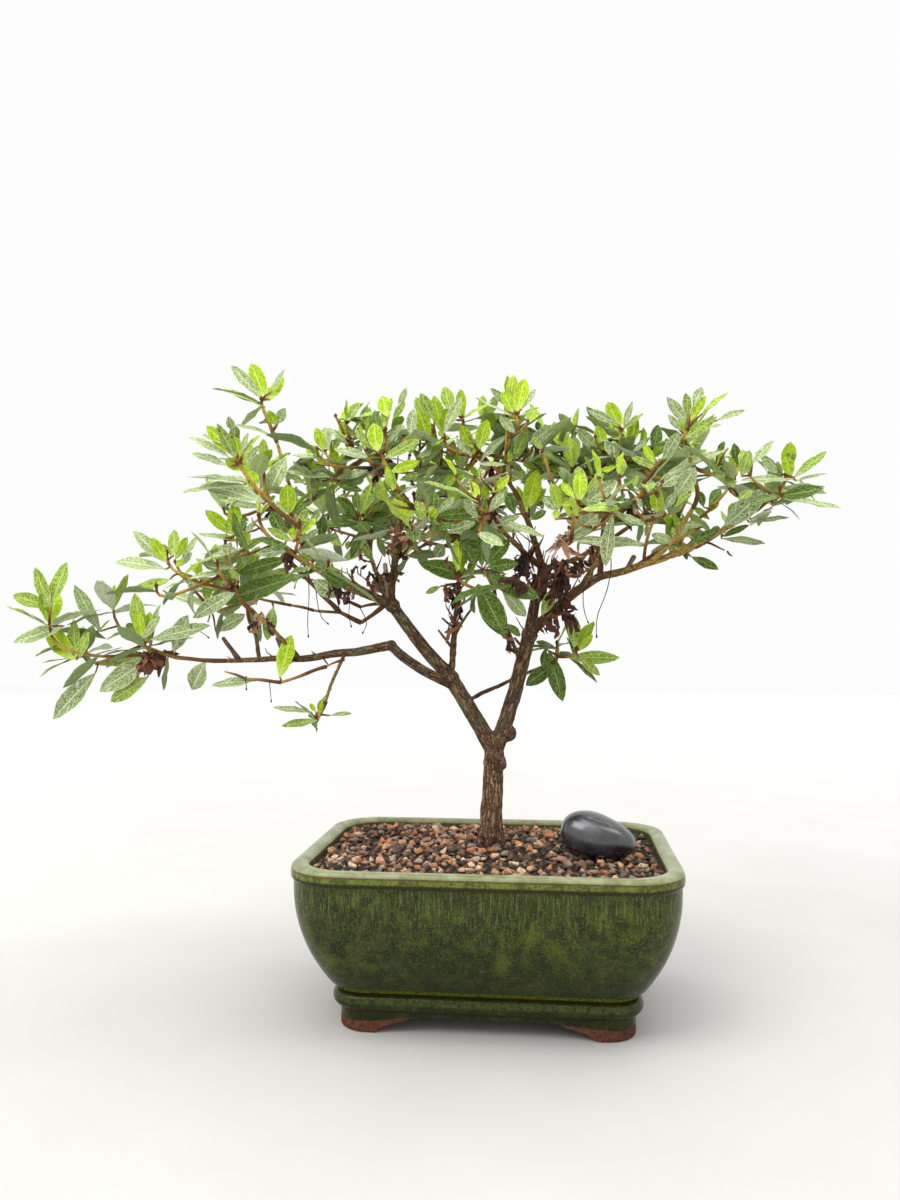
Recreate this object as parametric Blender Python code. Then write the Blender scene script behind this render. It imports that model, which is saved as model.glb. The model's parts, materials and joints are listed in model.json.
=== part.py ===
"""Azalea bonsai in a glazed rectangular pot, built as separate solids in metres with +Z up."""

import math
import random

import bmesh
import bpy
from mathutils import Matrix, Vector
from mathutils.bvhtree import BVHTree
from mathutils.geometry import delaunay_2d_cdt

MM = 0.001
CLEAR = 0.3 * MM

# Pot, outer sizes
POT_WIDTH = 203 * MM
POT_DEPTH = 152 * MM
POT_CORNER = 28 * MM
CORNER_PER_INSET = 0.5
CORNER_STEPS = 4
FOOT_HEIGHT = 8.5 * MM
FOOT_INSET = 24.5 * MM
FOOT_WALL = 15 * MM
FOOT_SINK = 1.5 * MM
FOOT_FLAT = {"x": 20 * MM, "y": 17 * MM}
ARCH_RUN = {"x": 29 * MM, "y": 20 * MM}
ARCH_STEPS = 5
POT_FLOOR = 17 * MM
POT_EDGE_ANGLE = 32

# Pot wall, as (inset from the rim, height), from the skirt up and over the rim to the floor
POT_OUTSIDE = (
    (24.0, 8.5), (23.6, 11.3), (21.2, 12.6), (20.2, 15.4), (21.0, 18.6), (22.2, 20.0),
    (17.6, 25.0), (9.6, 38.5), (4.2, 53.0), (1.6, 67.0), (1.3, 78.4),
)
POT_RIM = ((0.0, 79.6), (0.0, 85.4), (1.4, 87.0), (7.4, 87.0))
POT_INSIDE = ((9.0, 84.5), (9.6, 62.0), (14.6, 43.0), (28.0, 21.0), (33.0, 17.0))

# Gravel bed
EDGE_INSET = 9.4 * MM
EDGE_STEP = 10 * MM
GROUND_EDGE = 83.2 * MM
GROUND_TOP = 87.4 * MM
GROUND_CURVE = 2.2
GRAIN_PITCH = 9.5 * MM
GRAIN_SHAKE = 0.2
GRAIN_RISE = (0.2 * MM, 1.3 * MM)
GRAIN_DIP = (0.3 * MM, 1.2 * MM)
WALL_MARGIN = 3 * MM
PATCH_HEIGHT = 87.3 * MM
PATCH_RADIUS = 9.5 * MM
PATCH_SIDES = 10
PATCH_MARGIN = 2.5 * MM
INSIDE_ONLY = 1

# Polished pebble
STONE_AT = (59.5 * MM, -22 * MM)
STONE_SIZE = (41.5 * MM, 28 * MM, 25 * MM)
STONE_TURN = -24.0
STONE_TILT = 8.0
STONE_SIDES = 14
STONE_RINGS = 7
STONE_ROUND = 0.86
STONE_BLUNT = 0.48
STONE_FLAT = 0.36
STONE_TOP = 0.5
STONE_EDGE_ANGLE = 60

# Trunk
TRUNK_FOOT = (0.0, 4.0)
TRUNK_FLARE = 1.28
FLARE_CURVE = 5
TRUNK_SIDES = 10

# Limbs in mm: parent, place along it, tip, bow up, bow back, diameter at both ends
LIMBS = {
    "trunk": {"parent": None, "place": 0.0, "tip": (2, 4, 138),
              "bow": 0.0, "back": 0.0, "thick": (12.6, 11.4)},
    "left_limb": {"parent": "trunk", "place": 1.0, "tip": (-23, 3, 180),
                  "bow": 0.5, "back": 1.0, "thick": (9.4, 8.6)},
    "right_limb": {"parent": "trunk", "place": 1.0, "tip": (22, 7, 206),
                   "bow": -3.5, "back": 1.5, "thick": (9.2, 8.0)},
    "upper_left_limb": {"parent": "left_limb", "place": 1.0, "tip": (-58, 3, 223),
                        "bow": -1.0, "back": 2.0, "thick": (8.0, 6.6)},
    "lower_left_limb": {"parent": "left_limb", "place": 0.84, "tip": (-55, -13, 199),
                        "bow": -1.5, "back": -1.0, "thick": (5.8, 5.4)},
    "left_bough": {"parent": "lower_left_limb", "place": 1.0, "tip": (-151, -9, 190),
                   "bow": -2.0, "back": 3.0, "thick": (5.4, 2.8)},
    "left_side_bough": {"parent": "left_bough", "place": 0.55, "tip": (-133, -16, 217),
                        "bow": 2.0, "back": -1.0, "thick": (2.8, 2.1)},
    "left_back_bough": {"parent": "left_bough", "place": 0.8, "tip": (-146, 17, 212),
                        "bow": 2.0, "back": 1.0, "thick": (2.5, 2.0)},
    "hanging_twig": {"parent": "left_bough", "place": 0.25, "tip": (-91, -18, 168),
                     "bow": 1.0, "back": -1.0, "thick": (2.0, 1.6)},
    "low_right_twig": {"parent": "left_limb", "place": 0.55, "tip": (35, 23, 188),
                       "bow": 1.0, "back": 9.0, "thick": (2.4, 1.7)},
    "upright_bough": {"parent": "left_limb", "place": 1.0, "tip": (-19, 9, 232),
                      "bow": 1.0, "back": 1.5, "thick": (3.8, 2.8)},
    "upper_left_bough": {"parent": "upper_left_limb", "place": 1.0, "tip": (-112, -8, 262),
                         "bow": -4.0, "back": -2.0, "thick": (4.6, 3.0)},
    "top_left_twig": {"parent": "upper_left_bough", "place": 0.84, "tip": (-126, 3, 318),
                      "bow": 1.5, "back": 1.0, "thick": (2.3, 1.8)},
    "left_front_bough": {"parent": "upper_left_limb", "place": 1.0, "tip": (-90, -46, 240),
                         "bow": -2.0, "back": -2.0, "thick": (3.6, 2.6)},
    "left_back_limb": {"parent": "upper_left_limb", "place": 1.0, "tip": (-78, 50, 252),
                       "bow": -2.0, "back": 3.0, "thick": (3.8, 2.7)},
    "middle_left_bough": {"parent": "upper_left_limb", "place": 1.0, "tip": (-50, -8, 276),
                          "bow": 3.0, "back": -2.0, "thick": (4.4, 3.0)},
    "right_bough": {"parent": "right_limb", "place": 1.0, "tip": (62, 1, 238),
                    "bow": 1.5, "back": -1.0, "thick": (6.0, 4.8)},
    "right_outer_bough": {"parent": "right_bough", "place": 1.0, "tip": (146, 2, 273),
                          "bow": -4.5, "back": -2.0, "thick": (4.6, 2.4)},
    "right_upper_bough": {"parent": "right_outer_bough", "place": 0.3, "tip": (112, -10, 274),
                          "bow": -2.0, "back": -2.0, "thick": (3.0, 2.3)},
    "right_low_bough": {"parent": "right_outer_bough", "place": 0.42, "tip": (118, 26, 256),
                        "bow": -1.0, "back": 2.0, "thick": (2.7, 2.1)},
    "right_rise_bough": {"parent": "right_bough", "place": 1.0, "tip": (66, 6, 282),
                         "bow": 2.0, "back": 1.0, "thick": (3.4, 2.5)},
    "right_front_bough": {"parent": "right_bough", "place": 0.62, "tip": (66, -40, 262),
                          "bow": -2.0, "back": -3.0, "thick": (3.2, 2.4)},
    "low_front_twig": {"parent": "right_limb", "place": 0.72, "tip": (6, -24, 217),
                       "bow": 1.5, "back": -3.0, "thick": (2.4, 1.9)},
    "flower_twig": {"parent": "right_bough", "place": 0.3, "tip": (40, -15, 240),
                    "bow": 2.0, "back": -2.0, "thick": (2.6, 2.2)},
    "middle_limb": {"parent": "right_limb", "place": 1.0, "tip": (30, 9, 243),
                    "bow": 2.0, "back": 0.5, "thick": (6.4, 5.4)},
    "middle_bough": {"parent": "middle_limb", "place": 1.0, "tip": (17, -2, 281),
                     "bow": 1.5, "back": -1.0, "thick": (3.8, 2.8)},
    "front_bough": {"parent": "middle_limb", "place": 1.0, "tip": (8, -38, 262),
                    "bow": -1.0, "back": -3.0, "thick": (3.4, 2.4)},
    "back_bough": {"parent": "middle_limb", "place": 1.0, "tip": (6, 46, 268),
                   "bow": -1.0, "back": 3.0, "thick": (3.6, 2.6)},
    "right_back_bough": {"parent": "middle_limb", "place": 1.0, "tip": (72, 46, 264),
                         "bow": -2.0, "back": 3.0, "thick": (3.6, 2.6)},
}
BOW_PUSH = 1.33
FIRST_STEP = 0.12
LIMB_RINGS = 4
LIMB_SIDES = 6
THIN_LIMB = 4.7
THIN_SIDES = 5
FORK_SWELL = 1.12
COLLAR_SWELL = 1.22
COLLAR_SPARE = 0.5 * MM
TIGHTEST_FORK = 16.0
LIMB_EDGE_ANGLE = 50

# Leaf masses in mm: bough, middle, reach each way, number of shoots, first turn in degrees, withered flowers
MASSES = {
    "far_left_leaves": {"bough": "left_bough", "middle": (-229, -12, 201), "reach": (32, 17, 23),
                        "shoots": 4, "turn": 65, "withered": 1},
    "left_side_leaves": {"bough": "left_side_bough", "middle": (-164, -19, 241), "reach": (28, 15, 19),
                         "shoots": 5, "turn": 30, "withered": 1},
    "left_back_leaves": {"bough": "left_back_bough", "middle": (-160, 36, 229), "reach": (24, 17, 15),
                         "shoots": 3, "turn": 310, "withered": 0},
    "upper_left_leaves": {"bough": "upper_left_bough", "middle": (-126, -14, 281), "reach": (30, 18, 22),
                          "shoots": 5, "turn": 120, "withered": 1},
    "top_left_leaves": {"bough": "top_left_twig", "middle": (-138, 3, 344), "reach": (2, 2, 1),
                        "shoots": 1, "turn": 0, "withered": 0},
    "left_front_leaves": {"bough": "left_front_bough", "middle": (-106, -58, 250), "reach": (30, 20, 20),
                          "shoots": 5, "turn": 160, "withered": 1},
    "back_left_leaves": {"bough": "left_back_limb", "middle": (-96, 66, 280), "reach": (30, 22, 20),
                         "shoots": 4, "turn": 10, "withered": 0},
    "middle_left_leaves": {"bough": "middle_left_bough", "middle": (-70, -12, 305), "reach": (30, 24, 22),
                           "shoots": 6, "turn": 166, "withered": 2},
    "middle_leaves": {"bough": "upright_bough", "middle": (-28, 14, 268), "reach": (24, 20, 20),
                      "shoots": 3, "turn": 30, "withered": 1},
    "middle_top_leaves": {"bough": "middle_bough", "middle": (0, -6, 311), "reach": (30, 22, 20),
                          "shoots": 6, "turn": 165, "withered": 1},
    "front_leaves": {"bough": "front_bough", "middle": (-12, -54, 268), "reach": (32, 20, 22),
                     "shoots": 5, "turn": 15, "withered": 1},
    "back_leaves": {"bough": "back_bough", "middle": (-8, 66, 294), "reach": (34, 22, 20),
                    "shoots": 4, "turn": 70, "withered": 0},
    "right_front_leaves": {"bough": "right_front_bough", "middle": (66, -54, 266), "reach": (30, 20, 18),
                           "shoots": 5, "turn": 350, "withered": 1},
    "right_rise_leaves": {"bough": "right_rise_bough", "middle": (62, 4, 304), "reach": (24, 22, 18),
                          "shoots": 5, "turn": 35, "withered": 2},
    "right_back_leaves": {"bough": "right_back_bough", "middle": (86, 62, 284), "reach": (30, 22, 20),
                          "shoots": 3, "turn": 45, "withered": 0},
    "right_top_leaves": {"bough": "right_upper_bough", "middle": (105, -10, 299), "reach": (22, 19, 14),
                         "shoots": 4, "turn": 275, "withered": 0},
    "far_right_leaves": {"bough": "right_outer_bough", "middle": (152, 0, 284), "reach": (20, 18, 12),
                         "shoots": 4, "turn": 10, "withered": 0},
    "right_low_leaves": {"bough": "right_low_bough", "middle": (128, 30, 258), "reach": (22, 16, 11),
                         "shoots": 3, "turn": 75, "withered": 0},
    "low_front_leaves": {"bough": "low_front_twig", "middle": (-1, -32, 236), "reach": (14, 11, 10),
                         "shoots": 3, "turn": 50, "withered": 0},
    "withered_flowers": {"bough": "flower_twig", "middle": (39, -18, 250), "reach": (2, 2, 1),
                         "shoots": 1, "turn": 0, "withered": 4},
    "low_right_leaves": {"bough": "low_right_twig", "middle": (45, 23, 197), "reach": (10, 9, 4),
                         "shoots": 2, "turn": 155, "withered": 0},
    "hanging_leaves": {"bough": "hanging_twig", "middle": (-97, -19, 158), "reach": (1, 1, 1),
                       "shoots": 1, "turn": 0, "withered": 0},
}
SMALLER_LEAVES = {"hanging_leaves": 0.7}
GOLDEN_TURN = 137.508
LOWEST = -0.55
SHOOT_JITTER = 0.09
STEM_START = 0.35
STEM_RISE = 0.30
FORK_FROM = 0.22
FORK_OVER = 0.50
TWIG_BEND = 0.40
TWIG_DIP = 0.25
TWIG_RISE = 0.34
STEM_THICK = (2.6 * MM, 1.7 * MM)
TWIG_THICK = (2.0 * MM, 1.5 * MM)
TWIG_SIDES = 3
STEM_RINGS = 3
TWIG_RINGS = 2
BUD_LENGTH = 5.0 * MM
BUD_WIDTH = 4.0 * MM
BUD_TIP = 2.2 * MM
BUD_UPTURN = 0.6
LEAF_LENGTH = 32 * MM
LEAF_WIDTH = 11.5 * MM
LEAF_THICK = 1.1 * MM
LEAF_WIDEST = 0.56
LEAF_THICKEST = 0.26
LEAVES_PER_SHOOT = 5
LEAF_SPREAD = (32.0, 90.0)
LEAF_SWAY = 6.0
LEAF_TRIES = (0, 22, -22, 44, -44)
SIDE_TURN = 3
SIDE_SPREAD = (48.0, 66.0)
LEAF_SINK = 0.5 * MM
WITHERED_SIZE = (19 * MM, 8 * MM, 6 * MM)
WITHERED_PETALS = 2
WITHERED_SWAY = 0.35
WITHERED_SINK = 0.8 * MM
TOUCH_MARGIN = 0.45 * MM
FLATTEST = 1e-6
HOPELESS = 1e9
FUSE_TRIES = (("EXACT", 0), ("MANIFOLD", 0), ("EXACT", 11), ("MANIFOLD", 7))

COLOURS = {
    "glaze": (0.085, 0.135, 0.030),
    "gravel": (0.210, 0.110, 0.070),
    "pebble": (0.020, 0.021, 0.024),
    "bark": (0.175, 0.110, 0.068),
    "leaf": (0.130, 0.270, 0.045),
    "withered": (0.120, 0.060, 0.035),
}


# Scene and materials

def clear_scene():
    for item in list(bpy.data.objects):
        bpy.data.objects.remove(item, do_unlink=True)


def make_material(name, colour, roughness, coat=0.0):
    material = bpy.data.materials.new(name)
    material.use_nodes = True
    shader = material.node_tree.nodes["Principled BSDF"]
    shader.inputs["Base Color"].default_value = (*colour, 1.0)
    shader.inputs["Roughness"].default_value = roughness
    shader.inputs["Metallic"].default_value = 0.0
    shader.inputs["Coat Weight"].default_value = coat
    return material


def mesh_object(name, verts, faces):
    mesh = bpy.data.meshes.new(name)
    mesh.from_pydata([tuple(v) for v in verts], [], faces)
    mesh.validate()
    bm = bmesh.new()
    bm.from_mesh(mesh)
    bmesh.ops.recalc_face_normals(bm, faces=bm.faces)
    if bm.calc_volume(signed=True) < 0.0:
        bmesh.ops.reverse_faces(bm, faces=bm.faces)
    bm.to_mesh(mesh)
    bm.free()
    item = bpy.data.objects.new(name, mesh)
    bpy.context.scene.collection.objects.link(item)
    return item


def shade_round(item, angle):
    for face in item.data.polygons:
        face.use_smooth = True
    item.data.set_sharp_from_angle(angle=math.radians(angle))


# Booleans

def apply_boolean(base, pieces, operation, solver):
    group = bpy.data.collections.new("pieces")
    bpy.context.scene.collection.children.link(group)
    for piece in pieces:
        bpy.context.scene.collection.objects.unlink(piece)
        group.objects.link(piece)
        piece.hide_render = True
        piece.display_type = "WIRE"
    modifier = base.modifiers.new("join", "BOOLEAN")
    modifier.operation = operation
    modifier.operand_type = "COLLECTION"
    modifier.collection = group
    modifier.solver = solver
    graph = bpy.context.evaluated_depsgraph_get()
    result = bpy.data.meshes.new_from_object(base.evaluated_get(graph))
    base.modifiers.remove(modifier)
    old = base.data
    base.data = result
    bpy.data.meshes.remove(old)
    for piece in pieces:
        data = piece.data
        bpy.data.objects.remove(piece, do_unlink=True)
        bpy.data.meshes.remove(data)
    bpy.data.collections.remove(group)


def face_islands(bm):
    left = set(bm.faces)
    islands = []
    while left:
        stack = [left.pop()]
        island = list(stack)
        while stack:
            face = stack.pop()
            for edge in face.edges:
                for other in edge.link_faces:
                    if other in left:
                        left.remove(other)
                        stack.append(other)
                        island.append(other)
        islands.append(island)
    return islands


def island_volume(island):
    total = 0.0
    for face in island:
        first = face.verts[0].co
        for a, b in zip(face.verts[1:], face.verts[2:]):
            total += first.dot(a.co.cross(b.co)) / 6.0
    return total


def corner_cost(a, b, c, normal):
    """How thin a triangle is: near one for a good one, huge for a flat or turned one."""
    area = (b.co - a.co).cross(c.co - a.co).dot(normal)
    longest = max((a.co - b.co).length_squared, (b.co - c.co).length_squared, (c.co - a.co).length_squared)
    if area <= longest * FLATTEST:
        return HOPELESS
    return longest / area


def triangle_plan(bm, face):
    """The set of triangles with the best shapes that uses no edge the mesh already has."""
    verts = list(face.verts)
    count = len(verts)
    cost = {(index, index + 1): 0.0 for index in range(count - 1)}
    pick = {}
    for span in range(2, count):
        for low in range(count - span):
            high = low + span
            inner = not (low == 0 and high == count - 1)
            taken = inner and bm.edges.get((verts[low], verts[high])) is not None
            choices = []
            for middle in range(low + 1, high):
                thin = corner_cost(verts[low], verts[middle], verts[high], face.normal)
                choices.append((cost[low, middle] + cost[middle, high] + thin, middle))
            cost[low, high], pick[low, high] = min(choices)
            if taken:
                cost[low, high] += HOPELESS
    plan = []
    stack = [(0, count - 1)]
    while stack:
        low, high = stack.pop()
        if high - low > 1:
            middle = pick[low, high]
            plan.append((verts[low], verts[middle], verts[high]))
            stack += [(low, middle), (middle, high)]
    return plan


def cut_to_triangles(bm):
    for face in [face for face in bm.faces if len(face.verts) > 3]:
        plan = triangle_plan(bm, face)
        bm.faces.remove(face)
        for corners in plan:
            bm.faces.new(corners)


def keep_main_body(item):
    """Drops loose scraps and fills hollows that fusing has sealed."""
    bm = bmesh.new()
    bm.from_mesh(item.data)
    cut_to_triangles(bm)
    bm.normal_update()
    islands = face_islands(bm)
    main = max(islands, key=island_volume)
    spare = [face for island in islands if island is not main for face in island]
    bmesh.ops.delete(bm, geom=spare, context="FACES")
    loose = [vert for vert in bm.verts if not vert.link_faces]
    bmesh.ops.delete(bm, geom=loose, context="VERTS")
    closed = all(len(edge.link_faces) == 2 for edge in bm.edges)
    bm.to_mesh(item.data)
    bm.free()
    return closed


# Pot, gravel and pebble

def rounded_ring(inset, height):
    width = POT_WIDTH - 2 * inset
    depth = POT_DEPTH - 2 * inset
    radius = POT_CORNER - CORNER_PER_INSET * inset
    ring = []
    for side_x, side_y, start in ((1, 1, 0), (-1, 1, 90), (-1, -1, 180), (1, -1, 270)):
        for step in range(CORNER_STEPS + 1):
            angle = math.radians(start + 90.0 * step / CORNER_STEPS)
            x = side_x * (width / 2 - radius) + radius * math.cos(angle)
            y = side_y * (depth / 2 - radius) + radius * math.sin(angle)
            ring.append(Vector((x, y, height)))
    return ring


def loft(name, rings, closed=False):
    """Skins rings of the same number of points; open lofts get a flat end each side."""
    verts = [point for ring in rings for point in ring]
    count = len(rings[0])
    faces = []
    pairs = list(zip(range(len(rings)), range(1, len(rings))))
    if closed:
        pairs.append((len(rings) - 1, 0))
    for low, high in pairs:
        for step in range(count):
            after = (step + 1) % count
            faces.append((low * count + step, low * count + after, high * count + after, high * count + step))
    if not closed:
        faces.append(tuple(reversed(range(count))))
        faces.append(tuple(range((len(rings) - 1) * count, len(rings) * count)))
    return mesh_object(name, verts, faces)


def arch_cutter(axis, half):
    """A prism whose section is flat on top with a quarter ellipse at either end."""
    outer = half - FOOT_FLAT[axis]
    run = ARCH_RUN[axis]
    side = [(outer, -2 * FOOT_SINK)]
    for step in range(ARCH_STEPS + 1):
        angle = math.pi / 2 * step / ARCH_STEPS
        side.append((outer - run * (1 - math.cos(angle)), FOOT_HEIGHT * math.sin(angle)))
    side.append((outer - run, FOOT_HEIGHT + 2 * FOOT_SINK))
    outline = side + [(-along, up) for along, up in reversed(side)]
    reach = POT_WIDTH
    rings = []
    for across in (-reach, reach):
        if axis == "x":
            rings.append([Vector((along, across, up)) for along, up in outline])
        else:
            rings.append([Vector((across, along, up)) for along, up in outline])
    return loft("arch_" + axis, rings)


def make_pot(material):
    wall = POT_OUTSIDE + POT_RIM + POT_INSIDE
    body = loft("pot", [rounded_ring(inset * MM, height * MM) for inset, height in wall])
    inner = FOOT_INSET + FOOT_WALL
    top = FOOT_HEIGHT + FOOT_SINK
    feet = loft("feet", [rounded_ring(FOOT_INSET, 0.0), rounded_ring(FOOT_INSET, top),
                         rounded_ring(inner, top), rounded_ring(inner, 0.0)], closed=True)
    cut_x = arch_cutter("x", POT_WIDTH / 2 - FOOT_INSET)
    cut_y = arch_cutter("y", POT_DEPTH / 2 - FOOT_INSET)
    apply_boolean(feet, [cut_x, cut_y], "DIFFERENCE", "EXACT")
    apply_boolean(body, [feet], "UNION", "EXACT")
    keep_main_body(body)
    shade_round(body, POT_EDGE_ANGLE)
    body.data.materials.clear()
    body.data.materials.append(material)
    return body


def ground_height(x, y):
    """Gravel level: highest at the trunk and lowest at the wall."""
    across = x / (POT_WIDTH / 2 - EDGE_INSET)
    along = y / (POT_DEPTH / 2 - EDGE_INSET)
    share = min(1.0, max(abs(across), abs(along)) ** GROUND_CURVE)
    return GROUND_TOP + (GROUND_EDGE - GROUND_TOP) * share


def on_open_ground(x, y):
    """Whether a grain fits here, clear of the wall and of the trunk."""
    radius = POT_CORNER - CORNER_PER_INSET * EDGE_INSET
    over_x = abs(x) - (POT_WIDTH / 2 - EDGE_INSET - radius)
    over_y = abs(y) - (POT_DEPTH / 2 - EDGE_INSET - radius)
    from_wall = radius - math.hypot(max(over_x, 0.0), max(over_y, 0.0)) - min(max(over_x, over_y), 0.0)
    from_trunk = math.hypot(x - TRUNK_FOOT[0] * MM, y - TRUNK_FOOT[1] * MM)
    return from_wall > WALL_MARGIN and from_trunk > PATCH_RADIUS + PATCH_MARGIN


def grain_grid():
    """A shaken grid with low corners, and a larger grain that rises in the middle of each cell."""
    rng = random.Random(7)
    columns = int(POT_WIDTH / 2 / GRAIN_PITCH)
    rows = int(POT_DEPTH / 2 / GRAIN_PITCH)
    corners = {}
    grains = []
    for row in range(-rows, rows + 1):
        for column in range(-columns, columns + 1):
            shake = [rng.uniform(-GRAIN_SHAKE, GRAIN_SHAKE) for _ in range(4)]
            dip = rng.uniform(*GRAIN_DIP)
            rise = rng.uniform(*GRAIN_RISE)
            x, y = (column + shake[0]) * GRAIN_PITCH, (row + shake[1]) * GRAIN_PITCH
            if on_open_ground(x, y):
                corners[column, row] = Vector((x, y, ground_height(x, y) - dip))
            x, y = (column + 0.5 + shake[2]) * GRAIN_PITCH, (row + 0.5 + shake[3]) * GRAIN_PITCH
            if on_open_ground(x, y):
                grains.append(Vector((x, y, ground_height(x, y) + rise)))
    return corners, grains


def edge_line():
    """The bed's edge with extra points on its straight sides, and where each ring point is in it."""
    ring = rounded_ring(EDGE_INSET, GROUND_EDGE)
    line = []
    places = []
    for index, point in enumerate(ring):
        after = ring[(index + 1) % len(ring)]
        places.append(len(line))
        pieces = max(1, round((after - point).length / EDGE_STEP))
        line += [point.lerp(after, piece / pieces) for piece in range(pieces)]
    return line, places


def bed_top(line):
    """Triangles between the edge, the flat patch under the trunk and the shaken grid of grains."""
    middle = Vector((TRUNK_FOOT[0] * MM, TRUNK_FOOT[1] * MM, PATCH_HEIGHT))
    patch = []
    for step in range(PATCH_SIDES):
        turn = 2 * math.pi * step / PATCH_SIDES
        patch.append(middle + Vector((math.cos(turn), math.sin(turn), 0.0)) * PATCH_RADIUS)
    corners, grains = grain_grid()
    points = line + patch + list(corners.values()) + grains
    edges = [(len(line) + step, len(line) + (step + 1) % len(patch)) for step in range(len(patch))]
    numbers = {key: len(line) + len(patch) + number for number, key in enumerate(corners)}
    for column, row in corners:
        for other in ((column + 1, row), (column, row + 1)):
            if other in corners:
                edges.append((numbers[column, row], numbers[other]))
    flat = [Vector((point.x, point.y)) for point in points]
    outline = [list(range(len(line)))]
    _, _, faces, sources, _, _ = delaunay_2d_cdt(flat, edges, outline, INSIDE_ONLY, MM * 1e-3)
    return points, [[sources[corner][0] for corner in face] for face in faces]


def make_gravel(material):
    """A bed that fills the pot from its floor to the wall, with the larger grains on its top."""
    line, places = edge_line()
    points, faces = bed_top(line)
    last = None
    for inset, height in POT_INSIDE[1:]:
        lift = CLEAR if height * MM <= POT_FLOOR else 0.0
        ring = rounded_ring(inset * MM + CLEAR, height * MM + lift)
        first = len(points)
        points += ring
        for step in range(len(ring)):
            after = (step + 1) % len(ring)
            if last is None:
                end = places[after] or len(line)
                above = [place % len(line) for place in range(places[step], end + 1)]
            else:
                above = [last + step, last + after]
            faces.append([first + step, first + after] + above[::-1])
        last = first
    faces.append([last + step for step in reversed(range(len(places)))])
    bed = mesh_object("gravel", points, faces)
    keep_main_body(bed)
    bed.data.materials.append(material)
    return bed


def upright_distances(source, other, way):
    """How far each corner of a piece is from the other piece, straight up or down."""
    verts = [vert.co + other.location for vert in other.data.vertices]
    tree = BVHTree.FromPolygons(verts, [tuple(face.vertices) for face in other.data.polygons])
    hits = [tree.ray_cast(vert.co + source.location, Vector((0, 0, way))) for vert in source.data.vertices]
    return [hit[3] for hit in hits if hit[3] is not None]


def rest_on(item, ground):
    """Lowers a piece straight down until it is just clear of the ground under it."""
    drops = upright_distances(item, ground, -1) + upright_distances(ground, item, 1)
    item.location.z -= min(drops) - CLEAR


def boxed(value):
    """Makes a round form a little squarer."""
    return math.copysign(abs(value) ** STONE_ROUND, value)


def make_stone(material, ground):
    """A rounded stone with a flat underside, thicker at one end, set down on the gravel."""
    verts = [Vector((0, 0, -STONE_FLAT))]
    faces = []
    for row in range(1, STONE_RINGS):
        lift = math.pi * row / STONE_RINGS
        for step in range(STONE_SIDES):
            turn = 2 * math.pi * step / STONE_SIDES
            x = 0.5 * boxed(math.sin(lift)) * boxed(math.cos(turn))
            y = 0.5 * boxed(math.sin(lift)) * boxed(math.sin(turn))
            z = -0.5 * boxed(math.cos(lift))
            blunt = 1.0 - STONE_BLUNT * (x + 0.1)
            verts.append(Vector((x, y * blunt, max(z * blunt, -STONE_FLAT))))
    verts.append(Vector((0, 0, STONE_TOP)))
    last = len(verts) - 1
    for step in range(STONE_SIDES):
        after = (step + 1) % STONE_SIDES
        faces.append((0, 1 + after, 1 + step))
        top = 1 + (STONE_RINGS - 2) * STONE_SIDES
        faces.append((top + step, top + after, last))
        for row in range(STONE_RINGS - 2):
            low = 1 + row * STONE_SIDES
            high = low + STONE_SIDES
            faces.append((low + step, low + after, high + after, high + step))
    spin = Matrix.Rotation(math.radians(STONE_TURN), 3, "Z")
    spin = spin @ Matrix.Rotation(math.radians(STONE_TILT), 3, "Y")
    shaped = [spin @ Vector((v.x * STONE_SIZE[0], v.y * STONE_SIZE[1], v.z * STONE_SIZE[2])) for v in verts]
    stone = mesh_object("pebble", shaped, faces)
    stone.location = (STONE_AT[0], STONE_AT[1], GROUND_TOP + STONE_SIZE[2])
    keep_main_body(stone)
    rest_on(stone, ground)
    shade_round(stone, STONE_EDGE_ANGLE)
    stone.data.materials.append(material)
    return stone


# Limbs

def bezier(points, share):
    level = list(points)
    while len(level) > 1:
        level = [a.lerp(b, share) for a, b in zip(level, level[1:])]
    return level[0]


def bowed(start, end, bow, back):
    """Control points of a limb that bows up by one size and back by another."""
    third = (end - start) / 3.0
    push = Vector((0, back, bow)) * MM * BOW_PUSH
    return [start, start + third + push, start + third * 2 + push, end]


def tube(name, centres, widths, sides, facing=None):
    """A tapered limb; its first end is square to the facing where one is given."""
    rings = []
    heading = (centres[1] - centres[0]).normalized()
    guide = Vector((0, 1, 0)) if abs(heading.y) < 0.9 else Vector((1, 0, 0))
    side = heading.cross(guide).normalized()
    for index, centre in enumerate(centres):
        before = centres[max(index - 1, 0)]
        after = centres[min(index + 1, len(centres) - 1)]
        heading = (after - before).normalized()
        if index == 0 and facing is not None:
            heading = facing
        side = (side - heading * side.dot(heading)).normalized()
        other = heading.cross(side)
        ring = []
        for step in range(sides):
            turn = 2 * math.pi * step / sides
            ring.append(centre + (side * math.cos(turn) + other * math.sin(turn)) * widths[index] / 2)
        rings.append(ring)
    return loft(name, rings)


def ball(name, centre, width):
    bm = bmesh.new()
    bmesh.ops.create_icosphere(bm, subdivisions=1, radius=width / 2)
    bmesh.ops.translate(bm, verts=bm.verts, vec=centre)
    mesh = bpy.data.meshes.new(name)
    bm.to_mesh(mesh)
    bm.free()
    item = bpy.data.objects.new(name, mesh)
    bpy.context.scene.collection.objects.link(item)
    return item


def clear_reach(heading, width, neighbours):
    """How far out a limb must start for its end to clear the limbs that leave the same joint."""
    reach = 0.0
    for direction, other in neighbours:
        angle = min(max(heading.angle(direction), math.radians(TIGHTEST_FORK)), math.pi / 2)
        needed = other / 2 * COLLAR_SWELL + COLLAR_SPARE + width / 2 * math.cos(angle)
        reach = max(reach, needed / math.sin(angle))
    return reach


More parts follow.
